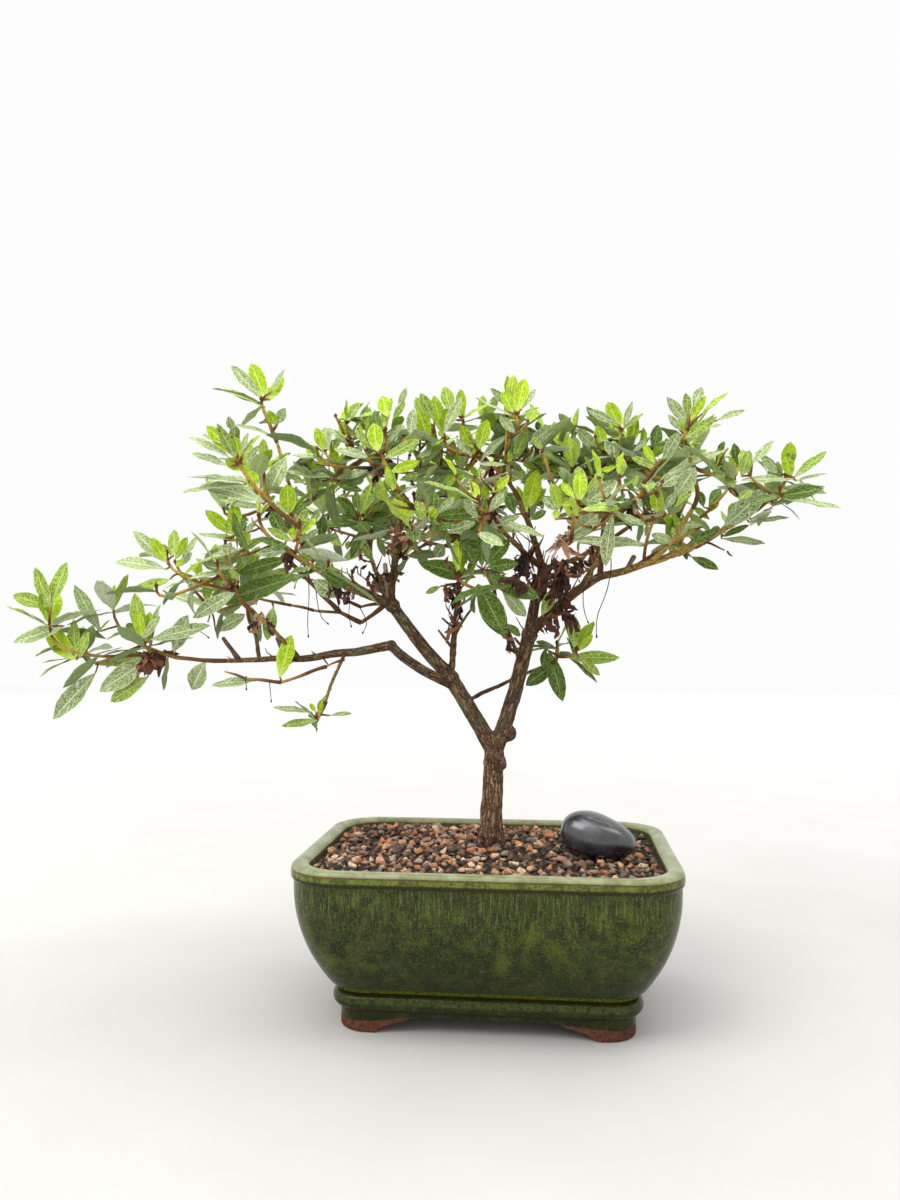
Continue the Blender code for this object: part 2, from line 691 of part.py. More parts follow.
def first_heading(joint, limb):
    controls = bowed(joint, Vector(limb["tip"]) * MM, limb["bow"], limb["back"])
    return (bezier(controls, FIRST_STEP) - joint).normalized()


def lay_out_limbs():
    """Gives every limb its path, and its parent the collar that it starts from."""
    paths = {}
    collars = {name: [] for name in LIMBS}
    for name, limb in LIMBS.items():
        tip = Vector(limb["tip"]) * MM
        if limb["parent"] is None:
            start = Vector((TRUNK_FOOT[0] * MM, TRUNK_FOOT[1] * MM, PATCH_HEIGHT + CLEAR))
            heading = Vector((0, 0, 1))
        else:
            parent = paths[limb["parent"]]
            place = limb["place"]
            joint = bezier(parent["controls"], place)
            heading = first_heading(joint, limb)
            base = limb["thick"][0] * MM
            at_joint = (parent["thick"][0] + (parent["thick"][1] - parent["thick"][0]) * place) * MM
            ahead = bezier(parent["controls"], min(place + 0.05, 1.0))
            onward = ahead - bezier(parent["controls"], place - 0.05)
            neighbours = [(onward, at_joint)] if place < 1.0 else [(-onward, at_joint)]
            for key, other in LIMBS.items():
                if key != name and other["parent"] == limb["parent"] and other["place"] == place:
                    neighbours.append((first_heading(joint, other), other["thick"][0] * MM))
            reach = clear_reach(heading, base, neighbours)
            start = joint + heading * (reach + CLEAR)
            collars[limb["parent"]].append((joint, joint + heading * reach, base))
        paths[name] = {"controls": bowed(start, tip, limb["bow"], limb["back"]), "thick": limb["thick"],
                       "facing": heading}
    return paths, collars


def stem_base(mass, paths):
    """Where a mass starts: straight on from its bough's tip."""
    controls = paths[mass["bough"]]["controls"]
    heading = (controls[-1] - bezier(controls, 1.0 - 1.0 / LIMB_RINGS)).normalized()
    return controls[-1] + heading * CLEAR, heading


def make_limb(name, path, collars, material):
    """One tapering limb, fused to the collars of the limbs that leave it."""
    thick = path["thick"]
    sides = THIN_SIDES if thick[0] <= THIN_LIMB else LIMB_SIDES
    if name == "trunk":
        sides = TRUNK_SIDES
    centres = []
    widths = []
    for step in range(LIMB_RINGS + 1):
        share = step / LIMB_RINGS
        centres.append(bezier(path["controls"], share))
        width = (thick[0] + (thick[1] - thick[0]) * share) * MM
        if name == "trunk":
            width *= 1.0 + (TRUNK_FLARE - 1.0) * (1.0 - share) ** FLARE_CURVE
        widths.append(width)
    limb = tube(name, centres, widths, sides, path["facing"])
    pieces = []
    forks = [collar for collar in collars if (collar[0] - centres[-1]).length < CLEAR]
    if forks:
        pieces.append(ball(name + "_fork", centres[-1], widths[-1] * FORK_SWELL))
    for joint, end, width in collars:
        collar_sides = THIN_SIDES if width <= THIN_LIMB * MM else LIMB_SIDES
        pieces.append(tube(name + "_collar", [joint, end], [width * COLLAR_SWELL, width], collar_sides))
    if pieces:
        apply_boolean(limb, pieces, "UNION", "EXACT")
    closed = keep_main_body(limb)
    print(name, "closed" if closed else "OPEN", len(limb.data.polygons))
    shade_round(limb, LIMB_EDGE_ANGLE)
    limb.data.materials.clear()
    limb.data.materials.append(material)
    return limb


# Leaf masses

def shoot_tips(mass, rng):
    """Spreads the shoot tips over the mass by the golden turn, the first one highest."""
    middle = Vector(mass["middle"])
    reach = Vector(mass["reach"])
    tips = []
    for index in range(mass["shoots"]):
        share = (index + 0.5) / mass["shoots"]
        height = 1.0 - share * (1.0 - LOWEST)
        around = math.sqrt(max(0.0, 1.0 - height * height))
        turn = math.radians(mass["turn"] + index * GOLDEN_TURN)
        offset = Vector((around * math.cos(turn), around * math.sin(turn), height))
        offset += Vector([rng.uniform(-SHOOT_JITTER, SHOOT_JITTER) for _ in range(3)])
        tips.append((middle + Vector([a * b for a, b in zip(offset, reach)])) * MM)
    return tips


def shoot_paths(base, heading, tips, rng):
    """The first shoot is the stem; the others leave it lower down and curve up to their tips."""
    reach = (tips[0] - base).length
    stem = [base, base + heading * reach * STEM_START, tips[0] - Vector((0, 0, reach * STEM_RISE)), tips[0]]
    paths = [stem]
    for index, tip in enumerate(tips[1:]):
        place = FORK_FROM + FORK_OVER * (index + 1) / len(tips) + rng.uniform(-0.05, 0.05)
        fork = bezier(stem, place)
        span = (tip - fork).length
        lift = Vector((0, 0, span * TWIG_RISE))
        paths.append([fork, fork.lerp(tip, TWIG_BEND) - lift * TWIG_DIP, tip - lift, tip])
    return paths


def turned(axis, around, away):
    """A direction that leans away from an axis, at a given turn around it."""
    guide = Vector((0, 0, 1)) if abs(axis.z) < 0.9 else Vector((1, 0, 0))
    side = axis.cross(guide).normalized()
    other = axis.cross(side)
    spread = side * math.cos(around) + other * math.sin(around)
    return (axis * math.cos(away) + spread * math.sin(away)).normalized()


def leaf_shape(root, heading, length, width, thick):
    """A leaf of eight faces: root, two sides, tip, and a rib above and below."""
    guide = Vector((0, 0, 1)) if abs(heading.z) < 0.95 else Vector((1, 0, 0))
    side = heading.cross(guide).normalized()
    up = side.cross(heading).normalized()
    rib = root + heading * length * LEAF_THICKEST
    wide = root + heading * length * LEAF_WIDEST
    verts = [root, wide + side * width / 2, wide - side * width / 2, root + heading * length,
             rib + up * thick / 2, rib - up * thick / 2]
    faces = [(0, 1, 4), (1, 3, 4), (3, 2, 4), (2, 0, 4), (1, 0, 5), (3, 1, 5), (2, 3, 5), (0, 2, 5)]
    return verts, faces


def grown(verts, margin):
    """The same corners pushed out from their middle, for the touch test."""
    middle = sum(verts, Vector()) / len(verts)
    return [vert + (vert - middle).normalized() * margin for vert in verts]


def make_shoot_parts(paths, facing, rng, withered, scale):
    """Twigs with swollen tips, leaves and withered flowers of one mass, shoot by shoot."""
    parts = []
    for index, controls in enumerate(paths):
        thick = STEM_THICK if index == 0 else TWIG_THICK
        rings = STEM_RINGS if index == 0 else TWIG_RINGS
        centres = [bezier(controls, step / rings) for step in range(rings)]
        widths = [thick[0] + (thick[1] - thick[0]) * step / rings for step in range(rings)]
        tip = controls[-1]
        end = (tip - bezier(controls, 0.9)).normalized()
        axis = (end + Vector((0, 0, BUD_UPTURN))).normalized()
        centres += [tip - axis * BUD_LENGTH * 0.5, tip + axis * BUD_LENGTH * 0.5]
        widths += [BUD_WIDTH, BUD_TIP]
        parts.append({"kind": "twig", "shoot": index, "centres": centres, "widths": widths,
                      "facing": facing if index == 0 else None})
        first = rng.uniform(0, 2 * math.pi)
        for leaf in range(LEAVES_PER_SHOOT):
            around = first + math.radians(GOLDEN_TURN) * leaf
            low, high = LEAF_SPREAD
            open_by = low + (high - low) * leaf / (LEAVES_PER_SHOOT - 1)
            away = math.radians(open_by + rng.uniform(-LEAF_SWAY, LEAF_SWAY))
            size = rng.uniform(0.86, 1.08) * scale
            root = tip - axis * BUD_LENGTH * (0.1 + 0.12 * leaf)
            tries = []
            for turn in LEAF_TRIES:
                heading = turned(axis, around + math.radians(turn), away)
                tries.append(leaf_shape(root, heading, LEAF_LENGTH * size, LEAF_WIDTH * size, LEAF_THICK))
            parts.append({"kind": "leaf", "shoot": index, "tries": tries})
        parts.append({"kind": "leaf", "shoot": index, "tries": side_leaf(controls, rng, scale)})
    for flower in range(withered):
        index = flower % len(paths)
        for shape in withered_flower(paths[index], rng):
            parts.append({"kind": "withered", "shoot": index, "tries": [shape]})
    return parts


def side_leaf(controls, rng, scale):
    """The turns that a leaf lower on a shoot may take."""
    place = rng.uniform(0.55, 0.8)
    spot = bezier(controls, place)
    along = (bezier(controls, place + 0.05) - spot).normalized()
    around = rng.uniform(0, 2 * math.pi)
    away = math.radians(rng.uniform(*SIDE_SPREAD))
    size = rng.uniform(0.78, 0.98) * scale
    tries = []
    for turn in LEAF_TRIES:
        heading = turned(along, around + math.radians(turn * SIDE_TURN), away)
        root = spot - heading * LEAF_SINK
        tries.append(leaf_shape(root, heading, LEAF_LENGTH * size, LEAF_WIDTH * size, LEAF_THICK))
    return tries


def withered_flower(controls, rng):
    """Brown petals that hang from one spot of a shoot."""
    spot = bezier(controls, rng.uniform(0.35, 0.55))
    shapes = []
    for _ in range(WITHERED_PETALS):
        sway = [rng.uniform(-WITHERED_SWAY, WITHERED_SWAY) for _ in range(2)]
        heading = Vector((sway[0], sway[1], -1.0)).normalized()
        size = rng.uniform(0.7, 1.1)
        length, width, thick = [side * size for side in WITHERED_SIZE]
        shapes.append(leaf_shape(spot - heading * WITHERED_SINK, heading, length, width, thick))
    return shapes


def part_object(part):
    if part["kind"] == "twig":
        return tube("twig", part["centres"], part["widths"], TWIG_SIDES, part["facing"])
    return mesh_object(part["kind"], part["shape"][0], part["shape"][1])


def search_tree(verts, faces):
    """What the touch test needs of a shape: its faces, and a ball round it for a quick answer."""
    middle = sum(verts, Vector()) / len(verts)
    radius = max((vert - middle).length for vert in verts)
    return {"tree": BVHTree.FromPolygons(verts, faces), "middle": middle, "radius": radius}


def touch_tree(part):
    """A search tree of one part, a little larger than the part itself."""
    if part["kind"] == "twig":
        wider = [width + 2 * TOUCH_MARGIN for width in part["widths"]]
        item = tube("probe", part["centres"], wider, TWIG_SIDES, part["facing"])
        verts = [vert.co.copy() for vert in item.data.vertices]
        faces = [tuple(face.vertices) for face in item.data.polygons]
        data = item.data
        bpy.data.objects.remove(item, do_unlink=True)
        bpy.data.meshes.remove(data)
    else:
        verts = grown(part["shape"][0], TOUCH_MARGIN)
        faces = part["shape"][1]
    return search_tree(verts, faces)


def object_tree(item):
    verts = [vert.co + item.location for vert in item.data.vertices]
    return search_tree(verts, [tuple(face.vertices) for face in item.data.polygons])


def touches(probe, others):
    for other in others:
        if (probe["middle"] - other["middle"]).length < probe["radius"] + other["radius"]:
            if probe["tree"].overlap(other["tree"]):
                return True
    return False


def distance_in(mass, point):
    """Distance from the middle of a mass, in units of its own reach plus a leaf."""
    middle = Vector(mass["middle"]) * MM
    reach = [size * MM + LEAF_LENGTH for size in mass["reach"]]
    return Vector([(a - b) / c for a, b, c in zip(point, middle, reach)]).length


def in_own_space(name, part):
    far = part["shape"][0][3]
    own = distance_in(MASSES[name], far)
    return all(own <= distance_in(other, far) for key, other in MASSES.items() if key != name)


def choose_parts(paths, limb_trees):
    """Keeps the twigs and leaves that touch no limb and no other mass."""
    made = {}
    for number, (name, mass) in enumerate(MASSES.items()):
        rng = random.Random(100 + number)
        base, heading = stem_base(mass, paths)
        shoots = shoot_paths(base, heading, shoot_tips(mass, rng), rng)
        scale = SMALLER_LEAVES.get(name, 1.0)
        made[name] = make_shoot_parts(shoots, heading, rng, mass["withered"], scale)
    kept = {name: [] for name in MASSES}
    placed = {name: [] for name in MASSES}
    gone = {name: set() for name in MASSES}
    for kinds in (("twig",), ("leaf", "withered")):
        for name in MASSES:
            others = list(limb_trees)
            for key, trees in placed.items():
                if key != name:
                    others.extend(trees)
            for part in made[name]:
                if part["kind"] not in kinds or part["shoot"] in gone[name]:
                    continue
                if part["kind"] == "twig":
                    probe = touch_tree(part)
                    if part["shoot"] > 0 and touches(probe, others):
                        gone[name].add(part["shoot"])
                        continue
                else:
                    own = [tree for tree in placed[name] if tree["shoot"] != part["shoot"]]
                    probe = first_free(name, part, others + own)
                    if probe is None:
                        continue
                probe["shoot"] = part["shoot"]
                kept[name].append(part)
                placed[name].append(probe)
    return kept


def first_free(name, part, others):
    """Turns a leaf about its twig until it is clear of all the rest, or gives it up."""
    for shape in part["tries"]:
        part["shape"] = shape
        if part["kind"] == "leaf" and not in_own_space(name, part):
            continue
        probe = touch_tree(part)
        if not touches(probe, others):
            return probe
    return None


def make_mass(name, parts, material):
    """Fuses a mass; one that doesn't close is fused again the other way, then with fewer leaves."""
    kept = list(parts)
    base = None
    for solver, share in FUSE_TRIES:
        if base is not None:
            print(name, "is fused again with", solver)
            data = base.data
            bpy.data.objects.remove(base, do_unlink=True)
            bpy.data.meshes.remove(data)
        if share:
            kept = [part for index, part in enumerate(kept) if part["kind"] == "twig" or index % share]
        items = [part_object(part) for part in kept]
        base = items[0]
        apply_boolean(base, items[1:], "UNION", solver)
        if keep_main_body(base):
            break
    base.name = name
    leaves = sum(part["kind"] == "leaf" for part in kept)
    print(name, len(base.data.polygons), "leaves", leaves)
    base.data.materials.clear()
    base.data.materials.append(material)
    return base


# Whole plant

def set_on_origin(items):
    """Moves all solids together so that the middle of their underside is the origin."""
    spots = [vert.co + item.location for item in items for vert in item.data.vertices]
    low = Vector([min(spot[axis] for spot in spots) for axis in range(3)])
    high = Vector([max(spot[axis] for spot in spots) for axis in range(3)])
    shift = Vector(((low.x + high.x) / 2, (low.y + high.y) / 2, low.z))
    for item in items:
        item.location = item.location - shift
    print("size in mm", [round(1000 * (b - a), 1) for a, b in zip(low, high)],
          "shift", [round(1000 * a, 1) for a in shift])


def main():
    clear_scene()
    pot = make_pot(make_material("moss_glaze", COLOURS["glaze"], 0.22, 0.4))
    gravel = make_gravel(make_material("loose_gravel", COLOURS["gravel"], 0.92))
    items = [pot, gravel, make_stone(make_material("polished_stone", COLOURS["pebble"], 0.18), gravel)]
    paths, collars = lay_out_limbs()
    for name in LIMBS:
        bark = make_material(name + "_bark", COLOURS["bark"], 0.85)
        items.append(make_limb(name, paths[name], collars[name], bark))
    trees = [object_tree(item) for item in items[3:]]
    for name, parts in choose_parts(paths, trees).items():
        colour = COLOURS["withered" if name == "withered_flowers" else "leaf"]
        items.append(make_mass(name, parts, make_material(name + "_colour", colour, 0.5)))
    set_on_origin(items)
    print("objects", len(items), "triangles", sum(len(item.data.polygons) for item in items))


main()
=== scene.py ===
import json
import random
from math import atan, copysign, cos, degrees, exp, hypot, pi, radians, sin, sqrt

import bmesh
import bpy
import numpy as np
from mathutils import Matrix, Vector, noise
from mathutils.bvhtree import BVHTree
from mathutils.kdtree import KDTree

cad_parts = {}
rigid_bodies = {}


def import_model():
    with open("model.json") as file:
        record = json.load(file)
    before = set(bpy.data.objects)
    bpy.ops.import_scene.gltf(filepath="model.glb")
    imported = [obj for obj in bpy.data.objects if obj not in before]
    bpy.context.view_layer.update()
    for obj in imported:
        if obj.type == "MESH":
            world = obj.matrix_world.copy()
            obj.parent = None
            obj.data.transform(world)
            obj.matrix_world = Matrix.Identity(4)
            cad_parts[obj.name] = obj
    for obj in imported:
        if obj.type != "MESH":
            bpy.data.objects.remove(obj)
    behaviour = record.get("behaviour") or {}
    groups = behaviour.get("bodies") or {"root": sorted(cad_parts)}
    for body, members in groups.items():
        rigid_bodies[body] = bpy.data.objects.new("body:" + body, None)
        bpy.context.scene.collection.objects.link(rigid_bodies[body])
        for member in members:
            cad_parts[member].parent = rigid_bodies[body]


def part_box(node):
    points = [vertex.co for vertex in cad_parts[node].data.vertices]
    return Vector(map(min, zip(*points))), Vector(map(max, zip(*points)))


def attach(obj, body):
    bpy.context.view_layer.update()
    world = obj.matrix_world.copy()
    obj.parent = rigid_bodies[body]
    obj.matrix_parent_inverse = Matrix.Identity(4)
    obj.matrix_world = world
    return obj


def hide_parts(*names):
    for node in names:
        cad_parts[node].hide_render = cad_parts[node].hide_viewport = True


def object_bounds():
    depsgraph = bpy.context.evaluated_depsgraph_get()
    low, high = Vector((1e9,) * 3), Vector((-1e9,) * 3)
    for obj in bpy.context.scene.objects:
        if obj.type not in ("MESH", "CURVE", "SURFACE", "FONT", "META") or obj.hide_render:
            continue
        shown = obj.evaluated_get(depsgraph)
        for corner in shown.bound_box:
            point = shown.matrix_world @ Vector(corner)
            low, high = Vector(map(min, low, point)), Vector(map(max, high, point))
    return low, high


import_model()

mm = 0.001
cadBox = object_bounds()
potLow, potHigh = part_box("pot")
potMiddle = Vector(((potLow[0] + potHigh[0]) / 2, (potLow[1] + potHigh[1]) / 2, 0.0))
view = {"from": (0.035, -0.553, 0.206), "turn": 6.0, "tilt": degrees(atan(33 / 971)),
        "focal": 971.0, "high": 1200.0, "sensor": 36.0}  # focal length and height of the frame in dots of the photo
print("frame loaded, pot middle", [round(1000 * side, 2) for side in potMiddle])


# small tools

class Wire:
    # one socket of a node tree; sums and products of wires add their own Math nodes
    tree = None

    def __init__(self, socket):
        self.socket = socket

    @staticmethod
    def node(kind, settings=None, values=None, output=0):
        made = Wire.tree.nodes.new(kind)
        for key, value in (settings or {}).items():
            if key == "stops":
                elements = made.color_ramp.elements
                elements.remove(elements[0])
                elements[0].position = value[0][0]
                elements[0].color = (*value[0][1], 1.0)
                for place, colour in value[1:]:
                    elements.new(place).color = (*colour, 1.0)
            else:
                setattr(made, key, value)
        for key, value in (values or {}).items():
            if isinstance(value, Wire):
                Wire.tree.links.new(value.socket, made.inputs[key])
            else:
                made.inputs[key].default_value = value
        return Wire(made.outputs[output])

    def maths(self, operation, other=0.0, swapped=False):
        first, second = (other, self) if swapped else (self, other)
        return Wire.node("ShaderNodeMath", {"operation": operation}, {0: first, 1: second})

    def __add__(self, other):
        return self.maths("ADD", other)

    def __sub__(self, other):
        return self.maths("SUBTRACT", other)

    def __rsub__(self, other):
        return self.maths("SUBTRACT", other, True)

    def __mul__(self, other):
        return self.maths("MULTIPLY", other)

    def __pow__(self, other):
        return self.maths("POWER", other)

    __radd__ = __add__
    __rmul__ = __mul__


def axisOf(vector, axis):
    return Wire.node("ShaderNodeSeparateXYZ", None, {0: vector}, "XYZ".index(axis))


def grainy(vector, scale, detail=3.0, rough=0.55):
    return Wire.node("ShaderNodeTexNoise", None,
                     {"Vector": vector, "Scale": scale, "Detail": detail, "Roughness": rough})


def stretched(vector, sizes):
    return Wire.node("ShaderNodeMapping", None, {"Vector": vector, "Scale": sizes})


def inMillimetres(middle=(0.0, 0.0, 0.0)):
    # object coordinates in mm, counted from a middle point
    coords = Wire.node("ShaderNodeTexCoord", output="Object")
    return Wire.node("ShaderNodeMapping", {"vector_type": "TEXTURE"},
                     {"Vector": coords, "Location": tuple(middle), "Scale": (mm, mm, mm)})


def rise(value, low, high):
    # 0 under low, 1 over high, smooth between; high may be the smaller one
    return Wire.node("ShaderNodeMapRange", {"interpolation_type": "SMOOTHSTEP"},
                     {"Value": value, "From Min": low, "From Max": high})


def band(value, middle, half):
    # 1 on a line and 0 beyond its half width
    return 1.0 - rise((value - middle).maths("ABSOLUTE"), half * 0.35, half)


def blend(share, *sides):
    # a mix of two colours; a plain one gets its alpha here
    low, high = [side if isinstance(side, Wire) else (*side, 1.0) for side in sides]
    return Wire.node("ShaderNodeMix", {"data_type": "RGBA"}, {0: share, 6: low, 7: high}, 2)


def painted(colour, *layers):
    # colours laid over a first one, each with its share
    for share, tint in layers:
        colour = blend(share, colour, tint)
    return colour


def ramp(value, *stops):
    # a colour for each place of a value, blended between its stops
    return Wire.node("ShaderNodeValToRGB", {"stops": stops}, {0: value})


def attribute(name, output=2):
    return Wire.node("ShaderNodeAttribute", {"attribute_name": name}, None, output)


def bumped(height, distance, strength=1.0):
    return Wire.node("ShaderNodeBump", None, {"Height": height, "Distance": distance, "Strength": strength})


def makeMaterial(name, recipe, colour):
    material = bpy.data.materials.new(name)
    material.use_nodes = True
    material.diffuse_color = (*colour, 1.0)
    Wire.tree = material.node_tree
    shader = material.node_tree.nodes["Principled BSDF"]
    for key, value in recipe().items():
        if isinstance(value, Wire):
            material.node_tree.links.new(value.socket, shader.inputs[key])
        else:
            shader.inputs[key].default_value = value
    return material


def linked(name, data):
    item = bpy.data.objects.new(name, data)
    bpy.context.scene.collection.objects.link(item)
    return item


def meshPiece(name, verts, faces):
    mesh = bpy.data.meshes.new(name)
    mesh.from_pydata([tuple(vert) for vert in verts], [], [tuple(face) for face in faces])
    return linked(name, mesh)


def smoothOver(item, angle=None):
    item.data.polygons.foreach_set("use_smooth", [True] * len(item.data.polygons))
    if angle is not None:
        item.data.set_sharp_from_angle(angle=radians(angle))


def facesOut(item):
    kit = bmesh.new()
    kit.from_mesh(item.data)
    bmesh.ops.recalc_face_normals(kit, faces=kit.faces)
    if kit.calc_volume(signed=True) < 0.0:
        bmesh.ops.reverse_faces(kit, faces=kit.faces)
    kit.to_mesh(item.data)
    kit.free()


def settled(item):
    # the evaluated shape as a plain mesh, with no modifier left
    graph = bpy.context.evaluated_depsgraph_get()
    mesh = bpy.data.meshes.new_from_object(item.evaluated_get(graph))
    item.modifiers.clear()
    item.data = mesh


def dress(item, materials, nodes=()):
    item.data.materials.clear()
    for material in materials:
        item.data.materials.append(material)
    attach(item, "root")
    if nodes:
        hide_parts(*nodes)
    print(item.name, len(item.data.polygons), "faces")


def pointOn(controls, share):
    level = list(controls)
    while len(level) > 1:
        level = [a.lerp(b, share) for a, b in zip(level, level[1:])]
    return level[0]


# pot

pot = {
    "width": 203.0, "depth": 152.0, "corner": 28.0, "cornerPerInset": 0.5, "cornerSteps": 14, "sideSteps": 16,
    "softening": 2, "warp": 0.25,
    "wall": (
        (60.0, 8.5), (30.0, 8.5), (24.6, 8.5), (24.0, 8.7), (23.9, 9.6), (23.8, 11.0), (23.2, 11.7), (21.6, 12.1),
        (20.6, 13.3), (20.1, 15.4), (20.3, 17.2), (20.9, 18.7), (21.9, 19.4), (22.6, 19.7), (21.9, 20.3),
        (20.4, 21.8), (17.6, 25.0), (13.5, 31.4), (9.6, 38.5), (6.6, 45.6), (4.2, 53.0), (2.6, 60.0), (1.6, 67.0),
        (1.3, 73.0), (1.3, 77.8), (1.2, 79.0), (0.3, 79.7), (0.0, 80.8), (0.0, 83.0), (0.1, 84.9), (0.6, 86.1),
        (1.7, 86.8), (3.4, 87.0), (5.6, 86.9), (7.3, 86.5), (8.4, 85.6), (8.9, 84.3), (9.1, 82.0), (9.6, 62.0),
        (14.6, 43.0), (28.0, 21.0), (33.0, 17.6), (60.0, 17.0),
    ),
    "footInset": 24.0, "footWall": 15.0, "footHeight": 8.5, "footFlat": {"X": 20.0, "Y": 17.0},
    "footTop": 10.0, "footRound": 0.7,
    "archRun": {"X": 29.0, "Y": 20.0}, "archSteps": 14, "archCurve": 2.1, "archWave": 0.05, "archOver": 3.0,
    "warpScale": 0.021, "warpFrom": 30.0,
}


def roundedRing(inset, height):
    # one level of the pot, in mm round its own middle, with even steps along the sides
    width = pot["width"] - 2 * inset
    depth = pot["depth"] - 2 * inset
    radius = max(pot["corner"] - pot["cornerPerInset"] * inset, 1.0)
    corners = []
    for sideX, sideY, start in ((1, 1, 0), (-1, 1, 90), (-1, -1, 180), (1, -1, 270)):
        arc = []
        for step in range(pot["cornerSteps"] + 1):
            angle = radians(start + 90.0 * step / pot["cornerSteps"])
            arc.append(Vector((sideX * (width / 2 - radius) + radius * cos(angle),
                               sideY * (depth / 2 - radius) + radius * sin(angle), height)))
        corners.append(arc)
    ring = []
    for index, arc in enumerate(corners):
        ring += arc
        after = corners[(index + 1) % 4][0]
        ring += [arc[-1].lerp(after, step / pot["sideSteps"]) for step in range(1, pot["sideSteps"])]
    return ring


def softened(line, rounds):
    # cuts the corners of an open line, over and over, with its ends kept
    for _ in range(rounds):
        cut = [line[0]]
        for a, b in zip(line, line[1:]):
            cut.append(tuple(0.75 * p + 0.25 * q for p, q in zip(a, b)))
            cut.append(tuple(0.25 * p + 0.75 * q for p, q in zip(a, b)))
        cut.append(line[-1])
        line = cut
    return line


def ringFaces(rows, count, closed=False):
    # the faces between rings of as many corners each, and from the last ring to the first if closed
    faces = []
    for low in range(rows if closed else rows - 1):
        high = (low + 1) % rows
        for step in range(count):
            after = (step + 1) % count
            faces.append((low * count + step, low * count + after, high * count + after, high * count + step))
    return faces


def skinRings(rings, closed=False):
    count = len(rings[0])
    faces = ringFaces(len(rings), count, closed)
    if not closed:
        faces.append(tuple(reversed(range(count))))
        faces.append(tuple(range((len(rings) - 1) * count, len(rings) * count)))
    return [point for ring in rings for point in ring], faces


def archPrism(axis):
    # what is cut away between two feet: flat on top, with a soft rise at either end
    half = pot["width" if axis == "X" else "depth"] / 2 - pot["footInset"]
    outer = half - pot["footFlat"][axis]
    run = pot["archRun"][axis]
    side = [(outer + 0.3, -2.0), (outer, 0.0)]
    for step in range(1, pot["archSteps"] + 1):
        share = step / pot["archSteps"]
        climb = 1.0 - (1.0 - share) ** pot["archCurve"] + pot["archWave"] * sin(3 * pi * share)
        side.append((outer - run * share, pot["footHeight"] * climb))
    side.append((outer - run, pot["footHeight"] + pot["archOver"]))
    outline = side + [(-along, up) for along, up in reversed(side)]
    rings = []
    for across in (-120.0, 120.0):  # from well before the pot to well behind it
        rings.append([Vector((along, across, up) if axis == "X" else (across, along, up)) for along, up in outline])
    item = meshPiece("arch" + axis, *skinRings(rings))
    facesOut(item)
    return item


def joinBy(base, others, operation):
    for other in others:
        modifier = base.modifiers.new("join", "BOOLEAN")
        modifier.operation = operation
        modifier.solver = "EXACT"
        modifier.object = other
    settled(base)
    for other in others:
        bpy.data.objects.remove(other, do_unlink=True)


def makePot():
    rings = [roundedRing(inset, height) for inset, height in softened(pot["wall"], pot["softening"])]
    body = meshPiece("glazedPot", *skinRings(rings))
    facesOut(body)
    edge, wall, top = pot["footRound"], pot["footWall"], pot["footTop"]
    footRings = [roundedRing(pot["footInset"] + inset, height) for inset, height in (
        (edge, 0.0), (edge * 0.3, edge * 0.3), (0.0, edge), (0.0, top), (wall, top), (wall, edge), (wall - edge, 0.0))]
    feet = meshPiece("feet", *skinRings(footRings, closed=True))
    facesOut(feet)
    joinBy(feet, [archPrism("X"), archPrism("Y")], "DIFFERENCE")
    joinBy(body, [feet], "UNION")
    for vert in body.data.vertices:  # a thrown and pressed pot is never quite true
        spot = vert.co.copy()
        sway = noise.noise(spot * pot["warpScale"] + Vector((4.0, 1.0, 7.0))) * pot["warp"]
        sway = sway * min(1.0, spot.z / pot["warpFrom"])
        out = Vector((spot.x, spot.y, 0.0)).normalized()
        vert.co = (spot + out * (sway - pot["warp"] * 0.5)) * mm + potMiddle
    smoothOver(body, 38)
    return body


